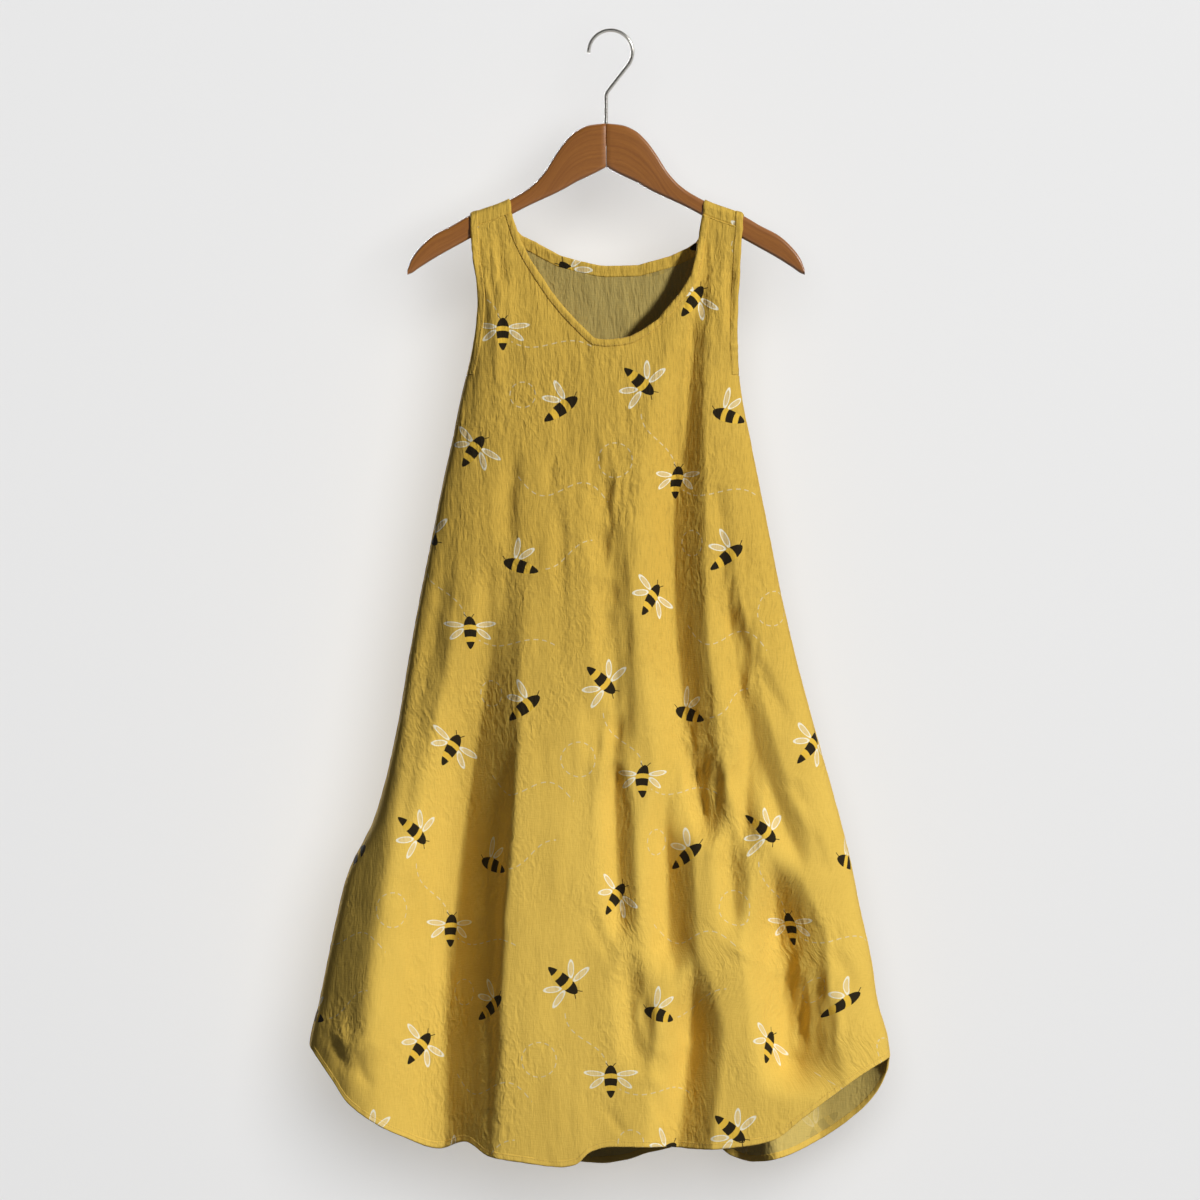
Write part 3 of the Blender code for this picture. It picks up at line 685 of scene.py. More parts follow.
def half_panel(face, side):
    """Half a panel as three grids of points: body from the hem up, strap, and band at the neck."""
    columns, skirt_rows, chest_rows, strap_rows, strap_share, strap_foot = GRIDS[face]
    shares = column_shares(columns)
    across = int(np.argmin(np.abs(shares - strap_share)))
    rise = shoulder_rise(face)
    neck, beside = neck_lines(face, side)
    count = np.arange(len(beside))
    stations = np.zeros(columns + 1 - across)
    for _ in range(STATION_ROUNDS):
        drop = np.interp(stations, count, beside[:, 1])
        stations = np.interp(shares[across:] * half_width[side](drop), np.abs(beside[:, 0]), count)
    strap_stations = np.linspace(stations[0], len(beside) - 1, strap_rows + 1)

    split_drop = at_station(beside, stations[0])[1]
    top = strap_foot + (split_drop - strap_foot) * (1 - shares) / (1 - shares[across])
    top[across:] = at_station(beside, stations)[:, 1]
    hem = hem_drop[face](side * shares)
    down = 1 - np.arange(skirt_rows)[:, None] / skirt_rows
    up = np.linspace(0, 1, chest_rows + 1)[:, None]
    drops = np.concatenate((UNDERARM + (hem - UNDERARM) * down, UNDERARM + (top - UNDERARM) * up))
    xs = side * shares * half_width[side](drops)

    steps = (1 - shares[: across + 1]) / (1 - shares[across])
    shoulder_x = side * half_width[side](hanger_top(SHOULDER_X) + rise)
    if face == "front":
        shoulder_x = seam_ends(side)[0]
    shoulder = np.array((shoulder_x, hanger_top(abs(shoulder_x)) + rise))
    strap = [np.stack((xs[-1, : across + 1], drops[-1, : across + 1]), axis=1)]
    for row in range(1, strap_rows + 1):
        climbed = row / strap_rows
        drop = strap_foot + (shoulder[1] - strap_foot) * climbed
        outer = shoulder if row == strap_rows else np.array((side * half_width[side](drop), drop))
        inner = at_station(beside, strap_stations[row])
        line = outer + (inner - outer) * steps[:, None]
        line[:, 1] += (hanger_top(np.abs(line[:, 0])) + rise - line[:, 1]) * climbed**STRAP_LEVEL_POWER
        strap.append(line)
    strap = np.array(strap)

    low_outer = np.stack((xs[-1, :across:-1], drops[-1, :across:-1]), axis=1)
    outer = np.concatenate((low_outer, strap[:, -1]))
    inner = at_station(neck, np.concatenate((stations[:0:-1], strap_stations)))
    share = np.linspace(0, 1, BAND_STEPS + 1)[None, :, None]
    band = outer[:, None] * (1 - share) + inner[:, None] * share

    grids = {
        "body": cloth_point(face, xs, drops),
        "strap": cloth_point(face, strap[..., 0], strap[..., 1]),
        "neck": cloth_point(face, band[..., 0], band[..., 1]),
    }
    if face == "back":
        outer_x, inner_x = seam_ends(side)
        seam_band = inner_x + side * NECK_BAND[face]
        wrapped, _ = over_hanger(strap[-1, :, 0], outer_x + (seam_band - outer_x) * steps)
        band_wrap, _ = over_hanger(band[-1, :, 0], np.linspace(seam_band, inner_x, BAND_STEPS + 1))
        grids["strap"] = np.concatenate((grids["strap"], wrapped))
        grids["neck"] = np.concatenate((grids["neck"], band_wrap))
    return grids


def grid_faces(rows, columns, first, turned):
    faces = []
    for row in range(rows - 1):
        for column in range(columns - 1):
            a = first + row * columns + column
            corners = (a, a + 1, a + columns + 1, a + columns)
            faces.append(corners[::-1] if turned else corners)
    return faces


def ring_faces(rings, sides, first=0):
    """The four-cornered faces between rings of points that follow each other."""
    faces = []
    for ring in range(rings - 1):
        a, b = first + ring * sides, first + (ring + 1) * sides
        for i in range(sides):
            after = (i + 1) % sides
            faces.append((a + i, a + after, b + after, b + i))
    return faces


def bar_faces(rings, sides):
    """The same with both ends closed."""
    faces = ring_faces(rings, sides)
    faces.append(tuple(reversed(range(sides))))
    faces.append(tuple((rings - 1) * sides + i for i in range(sides)))
    return faces


def mesh_of(name, points, faces, weld=None, outward=False):
    """Mesh data, if asked with near points joined or with every face turned outward."""
    data = bpy.data.meshes.new(name)
    data.from_pydata([tuple(p) for p in points], [], faces)
    shape = bmesh.new()
    shape.from_mesh(data)
    if weld is not None:
        bmesh.ops.remove_doubles(shape, verts=shape.verts, dist=weld)
        bmesh.ops.dissolve_degenerate(shape, dist=weld / 10, edges=shape.edges)
    if outward:
        bmesh.ops.recalc_face_normals(shape, faces=shape.faces)
    shape.to_mesh(data)
    shape.free()
    data.shade_smooth()
    return data


def add_piece(name, data, materials, replaced=None):
    """A shown piece that rides on the body. It may stand for a part of the solid model."""
    made = bpy.data.objects.new(name, data)
    bpy.context.scene.collection.objects.link(made)
    for finish in materials:
        data.materials.append(finish)
    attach(made, "root")
    if replaced is not None:
        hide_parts(replaced)
    return made


def arc_table(face):
    """Distance over the cloth from its middle line, on a grid of (x, drop)."""
    reach, step_across = ARC_ACROSS
    xs = np.arange(-reach, reach + 0.1, step_across)
    drops = np.arange(*ARC_DOWN)
    depth = cloth_depth(face, xs[None, :], drops[:, None])
    step = np.hypot(step_across, np.minimum(np.abs(np.diff(depth, axis=1)), ARC_RISE))
    travelled = np.concatenate((np.zeros((len(drops), 1)), np.cumsum(step, axis=1)), axis=1)
    middle = np.argmin(np.abs(xs))
    return xs, drops, travelled - travelled[:, middle : middle + 1]


def set_layer(data, name, flat):
    """Keep flat coordinates of the points as a named layer."""
    corners = np.zeros(len(data.loops), int)
    data.loops.foreach_get("vertex_index", corners)
    layer = data.uv_layers.new(name=name)
    layer.data.foreach_set("uv", flat[corners].ravel())


def lay_out(data, face, arcs):
    """A layer of flat coordinates in metres, measured over the cloth, that its print and weave follow."""
    count = len(data.vertices)
    points = np.zeros(count * 3)
    data.vertices.foreach_get("co", points)
    points = points.reshape(-1, 3) / MM
    x, drop = points[:, 0] - HANGER_X, -points[:, 2] - CROWN_DROP
    xs, drops, travelled = arcs
    column = np.clip((x - xs[0]) / (xs[1] - xs[0]), 0, len(xs) - 1.001)
    row = np.clip((drop - drops[0]) / (drops[1] - drops[0]), 0, len(drops) - 1.001)
    i, j = column.astype(int), row.astype(int)
    right, down = column - i, row - j
    upper = travelled[j, i] * (1 - right) + travelled[j, i + 1] * right
    lower = travelled[j + 1, i] * (1 - right) + travelled[j + 1, i + 1] * right
    flat = np.stack((-towards[face] * (upper * (1 - down) + lower * down), -drop), axis=1) * MM
    set_layer(data, "cloth", flat)


def panel(face, arcs, materials):
    points, faces = [], []
    for side in (-1, 1):
        for grid in half_panel(face, side).values():
            rows, columns = grid.shape[:2]
            faces += grid_faces(rows, columns, len(points), side * towards[face] < 0)
            points += list(grid.reshape(-1, 3))
    data = mesh_of(f"{face}_cloth", points, faces, weld=WELD * MM)
    lay_out(data, face, arcs)
    made = add_piece(f"{face}_cloth", data, materials, f"{face}_panel")
    solid = made.modifiers.new("wall", "SOLIDIFY")
    solid.thickness = WALL * MM
    solid.offset = 0
    solid.use_even_offset = False
    solid.material_offset = 1
    return made


def folded_edge(name, lines, facings, fold, seed, face, arcs, finish, node=None):
    """A strip folded round an edge of the cloth. Lines run along the edge, the first one on it."""
    count = lines.shape[1]
    along = travel(lines[0]) / MM
    outward = lines[0] - lines[1]
    outward = outward / np.linalg.norm(outward, axis=-1, keepdims=True)
    puckers = 1 + FINE_PUCKER * roughness(along / FINE_PUCKER_LENGTH, along * 0 + seed, seed)
    puckers = puckers + LONG_PUCKER * roughness(along / LONG_PUCKER_LENGTH, along * 0, seed)
    ring = []
    for (_, right, _), line, facing in reversed(list(zip(fold, lines, facings))):
        ring.append(line + facing * (right * puckers)[:, None] * MM)
    tip = fold[0][1] * TIP_SHARE
    ring.append(lines[0] + outward * (tip * puckers)[:, None] * MM)
    for (_, _, wrong), line, facing in zip(fold, lines, facings):
        ring.append(line - facing * (wrong * puckers)[:, None] * MM)
    points = np.array(ring).transpose(1, 0, 2).reshape(-1, 3)
    sides = len(ring)
    faces = ring_faces(count, sides)
    faces.append(tuple(range(sides)))
    faces.append(tuple((count - 1) * sides + i for i in reversed(range(sides))))
    data = mesh_of(name, points, faces, outward=True)
    lay_out(data, face, arcs)
    return add_piece(name, data, [finish], node)


def hem_lines(face):
    """Lines along the hem and above it, with the directions that the cloth faces."""
    shares = column_shares(HEM_COLUMNS)
    shares = np.concatenate((-shares, shares[-2::-1]))
    lines, facings = [], []
    for inward, _, _ in HEM_FOLD:
        drop = hem_drop[face](shares) - inward
        width = np.where(shares < 0, half_width[-1](drop), half_width[1](drop))
        lines.append(cloth_point(face, shares * width, drop))
        facings.append(cloth_facing(face, shares * width * FACING_INSIDE, drop))
    return np.array(lines), np.array(facings)


def neck_strip_lines(face, fold, lowest_top):
    """Lines along a neckline, from one strap to the other."""
    halves = []
    for side in (-1, 1):
        neck, beside = neck_lines(face, side)
        shown = neck[:, 1] > lowest_top
        halves.append((neck[shown], beside[shown]))
    neck = np.concatenate((halves[0][0][::-1], halves[1][0][1:]))
    beside = np.concatenate((halves[0][1][::-1], halves[1][1][1:]))
    lines, facings = [], []
    for inward, _, _ in fold:
        share = inward / NECK_BAND[face]
        at = neck * (1 - share) + beside * share
        lines.append(cloth_point(face, at[:, 0], at[:, 1]))
        facings.append(cloth_facing(face, at[:, 0], at[:, 1]))
    return np.array(lines), np.array(facings)


def armhole_lines(side):
    """Lines round an armhole: up the front, then over the shoulder and down the back."""
    seam = seam_ends(side)[0]
    front_top = hanger_top(abs(seam)) + shoulder_rise("front")
    back_top = hanger_top(SHOULDER_X) + shoulder_rise("back")
    front_drops = np.linspace(UNDERARM, front_top, ARMHOLE_ROWS[0])
    back_drops = np.linspace(back_top, UNDERARM, ARMHOLE_ROWS[1])
    back_start = side * half_width[side](back_top)
    lines, facings = [], []
    for inward, _, _ in ARMHOLE_ROLL:
        front_x = side * (half_width[side](front_drops) - inward)
        back_x = side * (half_width[side](back_drops) - inward)
        start = np.array([back_start - side * inward])
        end = np.array([seam - side * inward])
        wrapped, wrapped_facing = over_hanger(start, end)
        line = (
            cloth_point("front", front_x, front_drops),
            wrapped[::-1, 0],
            cloth_point("back", back_x, back_drops),
        )
        inset = side * ARMHOLE_INSET if inward < 2 else 0.0
        facing = (
            cloth_facing("front", front_x - inset, front_drops),
            wrapped_facing[::-1, 0],
            cloth_facing("back", back_x - inset, back_drops),
        )
        lines.append(np.concatenate(line))
        facings.append(np.concatenate(facing))
    return np.array(lines), np.array(facings)


def tube(name, path, radius, sides=10, seed=0):
    """A round cord along a path, as mesh data. With a seed its thickness is a little uneven."""
    path = np.array(path)
    ahead = np.gradient(path, axis=0)
    ahead /= np.linalg.norm(ahead, axis=1, keepdims=True)
    across = np.cross(ahead, (0.0, 1.0, 0.0))
    across /= np.linalg.norm(across, axis=1, keepdims=True)
    over = np.cross(across, ahead)
    swell = np.ones(len(path))
    if seed:
        along = travel(path) / MM
        swell = swell + SEAM_SWELL * roughness(along / SEAM_SWELL_LENGTH, along * 0, seed)
    points = []
    for i, p in enumerate(path):
        for turn in range(sides):
            angle = 2 * math.pi * turn / sides
            out = across[i] * math.cos(angle) + over[i] * math.sin(angle)
            points.append(p + out * radius * swell[i] * MM)
    return mesh_of(name, points, bar_faces(len(path), sides))


def side_seam(side):
    drops = np.linspace(UNDERARM + 1, float(hem_drop["front"](side)) - 1, SIDE_SEAM_POINTS)
    return place(side * half_width[side](drops), 0.0, drops)


def shoulder_seam(side):
    outer, inner = seam_ends(side)
    xs = np.linspace(outer, inner, SHOULDER_SEAM_POINTS)
    drops = hanger_top(np.abs(xs)) + SEAM_DROP + SEAM_CLEAR / 2
    return place(xs, -(HANGER_HALF + SEAT_GAP + SOLID_WALL / 2), drops)


def stitches(name, rows, finish):
    """Short stitches along rows of points, standing a little out of the cloth, as one mesh."""
    points, faces = [], []
    for line, facing in rows:
        travelled = travel(line) / MM
        for start in np.arange(STITCH_PITCH, travelled[-1] - STITCH_PITCH, STITCH_PITCH):
            spots = []
            for offset in (-STITCH_LENGTH / 2, 0.0, STITCH_LENGTH / 2):
                spots.append([np.interp(start + offset, travelled, line[:, axis]) for axis in range(3)])
            out = np.array([np.interp(start, travelled, facing[:, axis]) for axis in range(3)])
            out /= np.linalg.norm(out)
            low, middle, high = np.array(spots)
            half = (high - low) / 2
            side = np.cross(half / np.linalg.norm(half), out)
            faces += ring_faces(len(STITCH_PROFILE), STITCH_SIDES, len(points))
            for position, size in STITCH_PROFILE:
                for turn in range(STITCH_SIDES):
                    angle = 2 * math.pi * turn / STITCH_SIDES
                    ring = side * math.cos(angle) + out * math.sin(angle) * STITCH_FLATNESS
                    points.append(middle + half * position + ring * size * STITCH_RADIUS * MM)
    data = mesh_of(name, points, faces)
    return add_piece(name, data, [finish])


def sewn_row(lines, facings, fold, step, rise):
    """A row of points on a folded edge, at one distance in from the edge."""
    insets = [row[0] for row in fold]
    i = max(k for k in range(len(insets) - 1) if insets[k] <= step)
    part = (step - insets[i]) / (insets[i + 1] - insets[i])
    line = lines[i] * (1 - part) + lines[i + 1] * part
    facing = facings[i] * (1 - part) + facings[i + 1] * part
    height = fold[i][1] * (1 - part) + fold[i + 1][1] * part + rise
    return line + facing * height * MM, facing


def hanger_ring(out, shrink=0.0):
    """Section of the hanger across its length: a bar with well rounded edges."""
    top, bottom = float(hanger_top(out)), float(hanger_bottom(out))
    half = HANGER_HALF - shrink
    radius = min(HANGER_EDGE, (bottom - top) / 2 - 0.01)
    ring = []
    corners = (
        (half - radius, top + shrink + radius, 0.0),
        (-half + radius, top + shrink + radius, 90.0),
        (-half + radius, bottom - shrink - radius, 180.0),
        (half - radius, bottom - shrink - radius, 270.0),
    )
    for depth, drop, start in corners:
        for step in range(CORNER_STEPS + 1):
            angle = math.radians(start + 90.0 * step / CORNER_STEPS)
            ring.append((depth + radius * math.cos(angle), drop - radius * math.sin(angle)))
    return ring


def hanger_half(side, finish):
    """One wooden half, lofted outwards from the joint in the middle, with a small bevel there."""
    name = "hanger_left" if side < 0 else "hanger_right"
    reach = HANGER_OUTLINE[-1][0]
    outs = [JOINT_HALF, JOINT_HALF + BEVEL_STEP, JOINT_HALF + JOINT_BEVEL]
    shrinks = [JOINT_BEVEL, JOINT_BEVEL * BEVEL_SHARE, 0.0]
    for section in range(2, HANGER_SECTIONS + 1):
        outs.append(reach * math.sin(math.pi / 2 * section / HANGER_SECTIONS))
        shrinks.append(0.0)
    points, flat = [], []
    for out, shrink in zip(outs, shrinks):
        ring = hanger_ring(out, shrink)
        around = 0.0
        for i, (depth, drop) in enumerate(ring):
            around += math.dist(ring[i - 1], ring[i]) if i else 0.0
            points.append(place(side * out, depth, drop))
            flat.append((out * MM, around * MM + (0.0 if side < 0 else HALF_GRAIN_SHIFT)))
    faces = bar_faces(len(outs), len(ring))
    if side < 0:
        faces = [corners[::-1] for corners in faces]
    data = mesh_of(f"{name}_wood", points, faces)
    set_layer(data, "grain", np.array(flat))
    return add_piece(f"{name}_wood", data, [finish], name)


def hook_path():
    """Centre line of the hook: a long arc, a straight, a short arc back to plumb, and the stem."""
    centre = WIRE_RADIUS - HOOK_RADIUS
    points = []
    for angle in np.arange(HOOK_TIP_ANGLE, -HOOK_LEAN - 0.1, -HOOK_STEP):
        turn = math.radians(angle)
        points.append((HOOK_RADIUS * math.cos(turn), centre + HOOK_RADIUS * math.sin(turn)))
    lean = math.radians(HOOK_LEAN)
    end = (HOOK_RADIUS * math.cos(lean), centre - HOOK_RADIUS * math.sin(lean))
    shift = HOOK_NECK_RADIUS * (1 - math.cos(lean))
    straight = (end[0] - shift - HANGER_X) / math.sin(lean)
    start = (end[0] - straight * math.sin(lean), end[1] - straight * math.cos(lean))
    for share in np.linspace(0, 1, STRAIGHT_POINTS)[1:-1]:
        points.append((end[0] + (start[0] - end[0]) * share, end[1] + (start[1] - end[1]) * share))
    centre_x, centre_z = HANGER_X + HOOK_NECK_RADIUS, start[1] - HOOK_NECK_RADIUS * math.sin(lean)
    for share in np.linspace(0, 1, BEND_POINTS):
        turn = lean * (1 - share)
        aside, rise = HOOK_NECK_RADIUS * math.cos(turn), HOOK_NECK_RADIUS * math.sin(turn)
        points.append((centre_x - aside, centre_z + rise))
    low = -CROWN_DROP - STEM_DEPTH
    for share in np.linspace(0, 1, STEM_POINTS)[1:]:
        points.append((HANGER_X, points[-1][1] + (low - points[-1][1]) * share))
    return [(x * MM, 0.0, z * MM) for x, z in points]


# Print: a repeat of bees. Headings are in degrees, anticlockwise from the right
PRINT_STEP_A = (202.9, -163.2)
PRINT_STEP_B = (-244.8, -165.4)
BEES = (
    # x, drop, heading, wings (0 both sides, 1 its left side, -1 its right side), length
    (-114, 233, 90, 0, 36),
    (-50, 316, 36, 1, 45),
    (36, 285, -42, 0, 43),
    (96, 197, 52, 0, 42),
    (-96, 489, 164, -1, 41),
)
TRAILS = (
    # x, drop, heading, length, wave length, wave height
    (-60, 244, -12, 88, 118, 9),
    (-48, 404, 168, 104, 96, 12),
    (62, 352, -64, 84, 104, 10),
    (-44, 476, 18, 62, 90, 8),
)
LOOPS = (
    # x, drop, radius
    (10, 372, 19),
    (-92, 300, 14),
)
BEE_WINGS = (
    # centre ahead, centre to the side, angle, half length, half width
    (9, 18.2, 84, 11.8, 3),
    (-1.4, 15.2, 126, 9.8, 3.2),
)
FACING_PRINT_MOVE = (58.0, -28.0)
BEE_LENGTH = 36.0
BEE_WIDTH = 14.0
BEE_BLUNT = 0.58
BEE_HEAVY_HEAD = 0.24
BEE_STRIPES = (
    # place, half length, both as shares of half the bee
    (0.35, 0.14),
    (-0.39, 0.155),
)
STRIPE_BEND = 0.0012
STRIPE_SOFT = 0.02
FEELER_TURN = 40.0
FEELER_BACK = 1.5
FEELER_SIDE = 2.2
FEELER_REACH = 2.6
FEELER_HALF = 0.42
WING_RIM = (0.85, 0.14, 0.1)
WING_FILL = (0.9, 0.08)
PRINT_SOFT = 0.35
DASH = 9.5
DASH_SHAPE = (0.3, 0.28, 0.05)
TRAIL_WIDTH = 1.15

# Cloth: cells of its noise in millimetres along the flat cloth
CLOTH_WANDER = (26.0, 60.0, 2.0, 0.5, 3.0)
CLOTH_NOISE = {
    # kind: sideways drift, across, up, detail, roughness, offset
    "crinkles": (9.0, 7.0, 30.0, 3.0, 0.55, 0.0),
    "puckers": (0.0, 16.0, 22.0, 2.0, 0.5, 7.0),
    "slubs_up": (0.0, 0.9, 9.0, 1.0, 0.5, 1.0),
    "slubs_across": (0.0, 9.0, 0.9, 1.0, 0.5, 2.0),
    "patches": (0.0, 85.0, 120.0, 2.0, 0.5, 12.0),
    "crumples": (12.0, 11.0, 19.0, 2.0, 0.55, 15.0),
    "shade": (0.0, 45.0, 60.0, 2.0, 0.5, 9.0),
    "streaks": (8.0, 1.9, 15.0, 3.0, 0.65, 21.0),
}
CLOTH_THREADS = (3.0, 18.0, 2.0, 0.6, 23.0)
THREAD_DRIFT = 6.0
CLOTH_RELIEF = 3.0
CRINKLE_FOOT = 620.0
CRINKLE_FADE = 360.0
# Painted shade: from this drop up to the chest the cloth's colour deepens, standing in for the shade of its
# dense crinkles
CRINKLE_SHADE_FOOT = 760.0
CRINKLE_SHADE_FADE = 290.0

# How much each noise counts in the cloth's colour and relief
PATCH_CONTRAST = 7.0
PATCH_LEVEL = 0.4
CRUMPLE_CONTRAST = 2.0
FINENESS_GAIN = 0.62
FINENESS_LEAST = 0.3
SLUB_SHADE = 2.0
WIDE_SHADE = 0.7
# Shares of random mottle and of painted crinkle shade on the chest in the cloth's deeper colour
MOTTLE_DEEPENING = 0.8
CRINKLE_SHADE_DEEPENING = 0.8
LEAST_DEEPENING = 0.15
# Dark streaks of painted crinkle shade, strongest on the chest
STREAK_CONTRAST = 5.0
STREAK_UPPER = 0.50
STREAK_LEAST = 0.05
STREAK_THROUGH = 0.4
CLOTH_HEIGHTS = {
    "crinkles": 0.8,
    "threads": 0.34,
    "puckers": 0.16,
    "crumples": 0.6,
    "slubs": 0.13,
}
INK_SHARES = {
    "trail": 0.7,
    "wing": 0.28,
    "wing_rim": 0.95,
    "yellow": 0.9,
    "black": 0.98,
}
CLOTH_FINISH = {
    "Roughness": 0.88,
    "Specular IOR Level": 0.15,
    "Sheen Weight": 0.06,
    "Sheen Roughness": 0.45,
}

# Wood, steel, thread and wall. Noises have the size across and up, detail, roughness and offset
WOOD_WANDER = (90.0, 30.0, 2.0, 0.5, 4.0)
WOOD_BANDS = (120.0, 3.4, 3.0, 0.6)
WOOD_PORES = (5.0, 0.5, 1.0, 0.5, 6.0)
WOOD_DRIFT = 14.0
BAND_SHADE = 1.5
PORE_SHADE = 0.7
WOOD_SHADE = 0.45
WOOD_ROUGHNESS = 0.30
PORE_ROUGHNESS = 0.12
PORE_HEIGHT = 0.4
WOOD_RELIEF = 0.12
WOOD_COAT = {"Coat Weight": 0.25, "Coat Roughness": 0.22}
STEEL_MARKS = (1.4, 1.4, 2.0, 0.6)
STEEL_ROUGHNESS = 0.20
MARK_ROUGHNESS = 0.16
STEEL_RELIEF = 0.03
THREAD_TWIST = (0.8, 0.8, 1.0)
THREAD_FINISH = {"Roughness": 0.7, "Sheen Weight": 0.1}
WALL_FINISH = {"Roughness": 0.9, "Specular IOR Level": 0.0}

# Colours, how much of the print shows on the wrong side, and glows
CLOTH_COLOUR = (0.80, 0.535, 0.098)
# The deep colours show where the random mottle is darker and, as painted shade of the crinkles, towards the
# chest
CLOTH_DEEP = (0.665, 0.427, 0.066)
# Painted shade of the fine crinkles, laid as dark streaks
CRINKLE_STREAK_SHADE = (0.42, 0.26, 0.040)
INSIDE_COLOUR = (0.66, 0.49, 0.135)
INSIDE_DEEP = (0.44, 0.335, 0.105)
BEE_BLACK = (0.004, 0.003, 0.002)
BEE_YELLOW = (0.80, 0.50, 0.05)
WING_WHITE = (0.90, 0.86, 0.68)
TRAIL_PALE = (0.72, 0.64, 0.42)
THREAD_COLOUR = (0.62, 0.40, 0.07)
WOOD_LIGHT = (0.40, 0.150, 0.024)
WOOD_DARK = (0.21, 0.066, 0.010)
STEEL_COLOUR = (0.52, 0.50, 0.46)
WALL_COLOUR = (0.40, 0.40, 0.40)
FLOOR_COLOUR = (0.06, 0.06, 0.06)
WALL_GLOW = (0.8, 0.8, 0.8)
WRONG_SIDE_PRINT = 0.18
GLOWS = {"wall": 0.52, "floor": 0.92, "far_wall": 1.0}


class Field:
    """A number that changes over a surface. Sums with it make shader nodes."""

    def __init__(self, tree, socket):
        self.tree = tree
        self.socket = socket

    def apply(self, operation, *others):
        node = self.tree.nodes.new("ShaderNodeMath")
        node.operation = operation
        for slot, value in zip(node.inputs, (self, *others)):
            if isinstance(value, Field):
                self.tree.links.new(value.socket, slot)
            else:
                slot.default_value = value
        return Field(self.tree, node.outputs[0])

    def __add__(self, other):
        return self.apply("ADD", other)

    def __sub__(self, other):
        return self.apply("SUBTRACT", other)

    def __rsub__(self, other):
        return self.apply("MULTIPLY_ADD", -1.0, other)

    def __mul__(self, other):
        return self.apply("MULTIPLY", other)

    def __truediv__(self, other):
        return self.apply("DIVIDE", other)

    __radd__ = __add__
    __rmul__ = __mul__

    def size(self):
        return self.apply("ABSOLUTE")

    def held(self):
        """The number, kept from 0 to 1."""
        return self.apply("MAXIMUM", 0.0).apply("MINIMUM", 1.0)

    def below(self, limit, soft=PRINT_SOFT):
        """1 where the number is under the limit, 0 over it, with a soft step between."""
        return ((limit - self) * (1.0 / soft) + 0.5).held()

    def mixed(self, other, share):
        """This number, or the other where the share is 1."""
        return self + (other - self) * share


def hypot(x, y):
    return (x * x + y * y).apply("SQRT")


def nearest_repeat(u, v, x, drop):
    """Distances right and up from the nearest repeat of a place in the print."""
    ax, ay = PRINT_STEP_A
    bx, by = PRINT_STEP_B
    across = ax * by - bx * ay
    right, up = u - x, v + drop
    s = right * (by / across) - up * (bx / across)
    t = up * (ax / across) - right * (ay / across)
    s = s - s.apply("ROUND")
    t = t - t.apply("ROUND")
    return s * ax + t * bx, s * ay + t * by


def turned(right, up, heading):
    """Distances ahead and to the left of something that heads this way."""
    angle = math.radians(heading)
    ahead = right * math.cos(angle) + up * math.sin(angle)
    return ahead, up * math.cos(angle) - right * math.sin(angle)


def bee_masks(u, v):
    """Where the print is black, yellow, wing outline and wing, from the nearest bee."""
    nearest = None
    for x, drop, heading, wings, length in BEES:
        right, up = nearest_repeat(u, v, x, drop)
        distance = hypot(right, up)
        ahead, left = turned(right, up, heading)
        ahead = ahead * (BEE_LENGTH / length)
        left = left.size() if wings == 0 else left * wings
        found = (distance, ahead, left)
        if nearest is None:
            nearest = found
        else:
            closer = distance.apply("LESS_THAN", nearest[0])
            nearest = tuple(old.mixed(new, closer) for old, new in zip(nearest, found))
    _, ahead, left = nearest
    across = left.size()
    half = BEE_LENGTH / 2
    t = ahead / half
    bulge = (1 - t * t).apply("MAXIMUM", 0.0).apply("POWER", BEE_BLUNT) * (t * BEE_HEAVY_HEAD + 1.0)
    body = (across - bulge * (BEE_WIDTH / 2)).below(0.0) * t.size().below(1.0, STRIPE_SOFT)
    curved = t + across * across * STRIPE_BEND
    stripes = [(curved - place).size().below(wide, STRIPE_SOFT) for place, wide in BEE_STRIPES]
    yellow = stripes[0].apply("MAXIMUM", stripes[1])
    along, aside = turned(ahead - (half - FEELER_BACK), left - FEELER_SIDE, FEELER_TURN)
    feeler = (along - FEELER_REACH).size().below(FEELER_REACH) * aside.size().below(FEELER_HALF)
    outline, fill = None, None
    rim_place, *rim = WING_RIM
    for centre_ahead, centre_left, angle, long, wide in BEE_WINGS:
        along, over = turned(ahead - centre_ahead, left - centre_left, angle)
        ellipse = hypot(along / long, over / wide)
        edge = (ellipse - rim_place).size().below(*rim)
        inside = ellipse.below(*WING_FILL)
        outline = edge if outline is None else outline.apply("MAXIMUM", edge)
        fill = inside if fill is None else fill.apply("MAXIMUM", inside)
    black = (body * (1 - yellow)).apply("MAXIMUM", feeler)
    return black, body * yellow, outline, fill


def dashed(count):
    """1 in the dashes and 0 between them, along a count of dashes."""
    middle, half, soft = DASH_SHAPE
    return (count.apply("FRACT") - middle).size().below(half, soft)


def trail_mask(u, v):
    """Where the print has a pale dashed trail."""
    trails = []
    for x, drop, heading, length, wave, height in TRAILS:
        right, up = nearest_repeat(u, v, x, drop)
        ahead, left = turned(right, up, heading)
        turn = ahead * (2 * math.pi / wave)
        path = turn.apply("SINE") * height
        slope = turn.apply("COSINE") * (height * 2 * math.pi / wave)
        distance = (left - path).size() / (slope * slope + 1.0).apply("SQRT")
        line = distance.below(TRAIL_WIDTH / 2) * ahead.size().below(length / 2)
        trails.append(line * dashed(ahead / DASH))
    for x, drop, radius in LOOPS:
        right, up = nearest_repeat(u, v, x, drop)
        line = (hypot(right, up) - radius).size().below(TRAIL_WIDTH / 2)
        dashes = round(2 * math.pi * radius / DASH) / (2 * math.pi)
        trails.append(line * dashed(up.apply("ARCTAN2", right) * dashes))
    found = trails[0]
    for trail in trails[1:]:
        found = found.apply("MAXIMUM", trail)
    return found


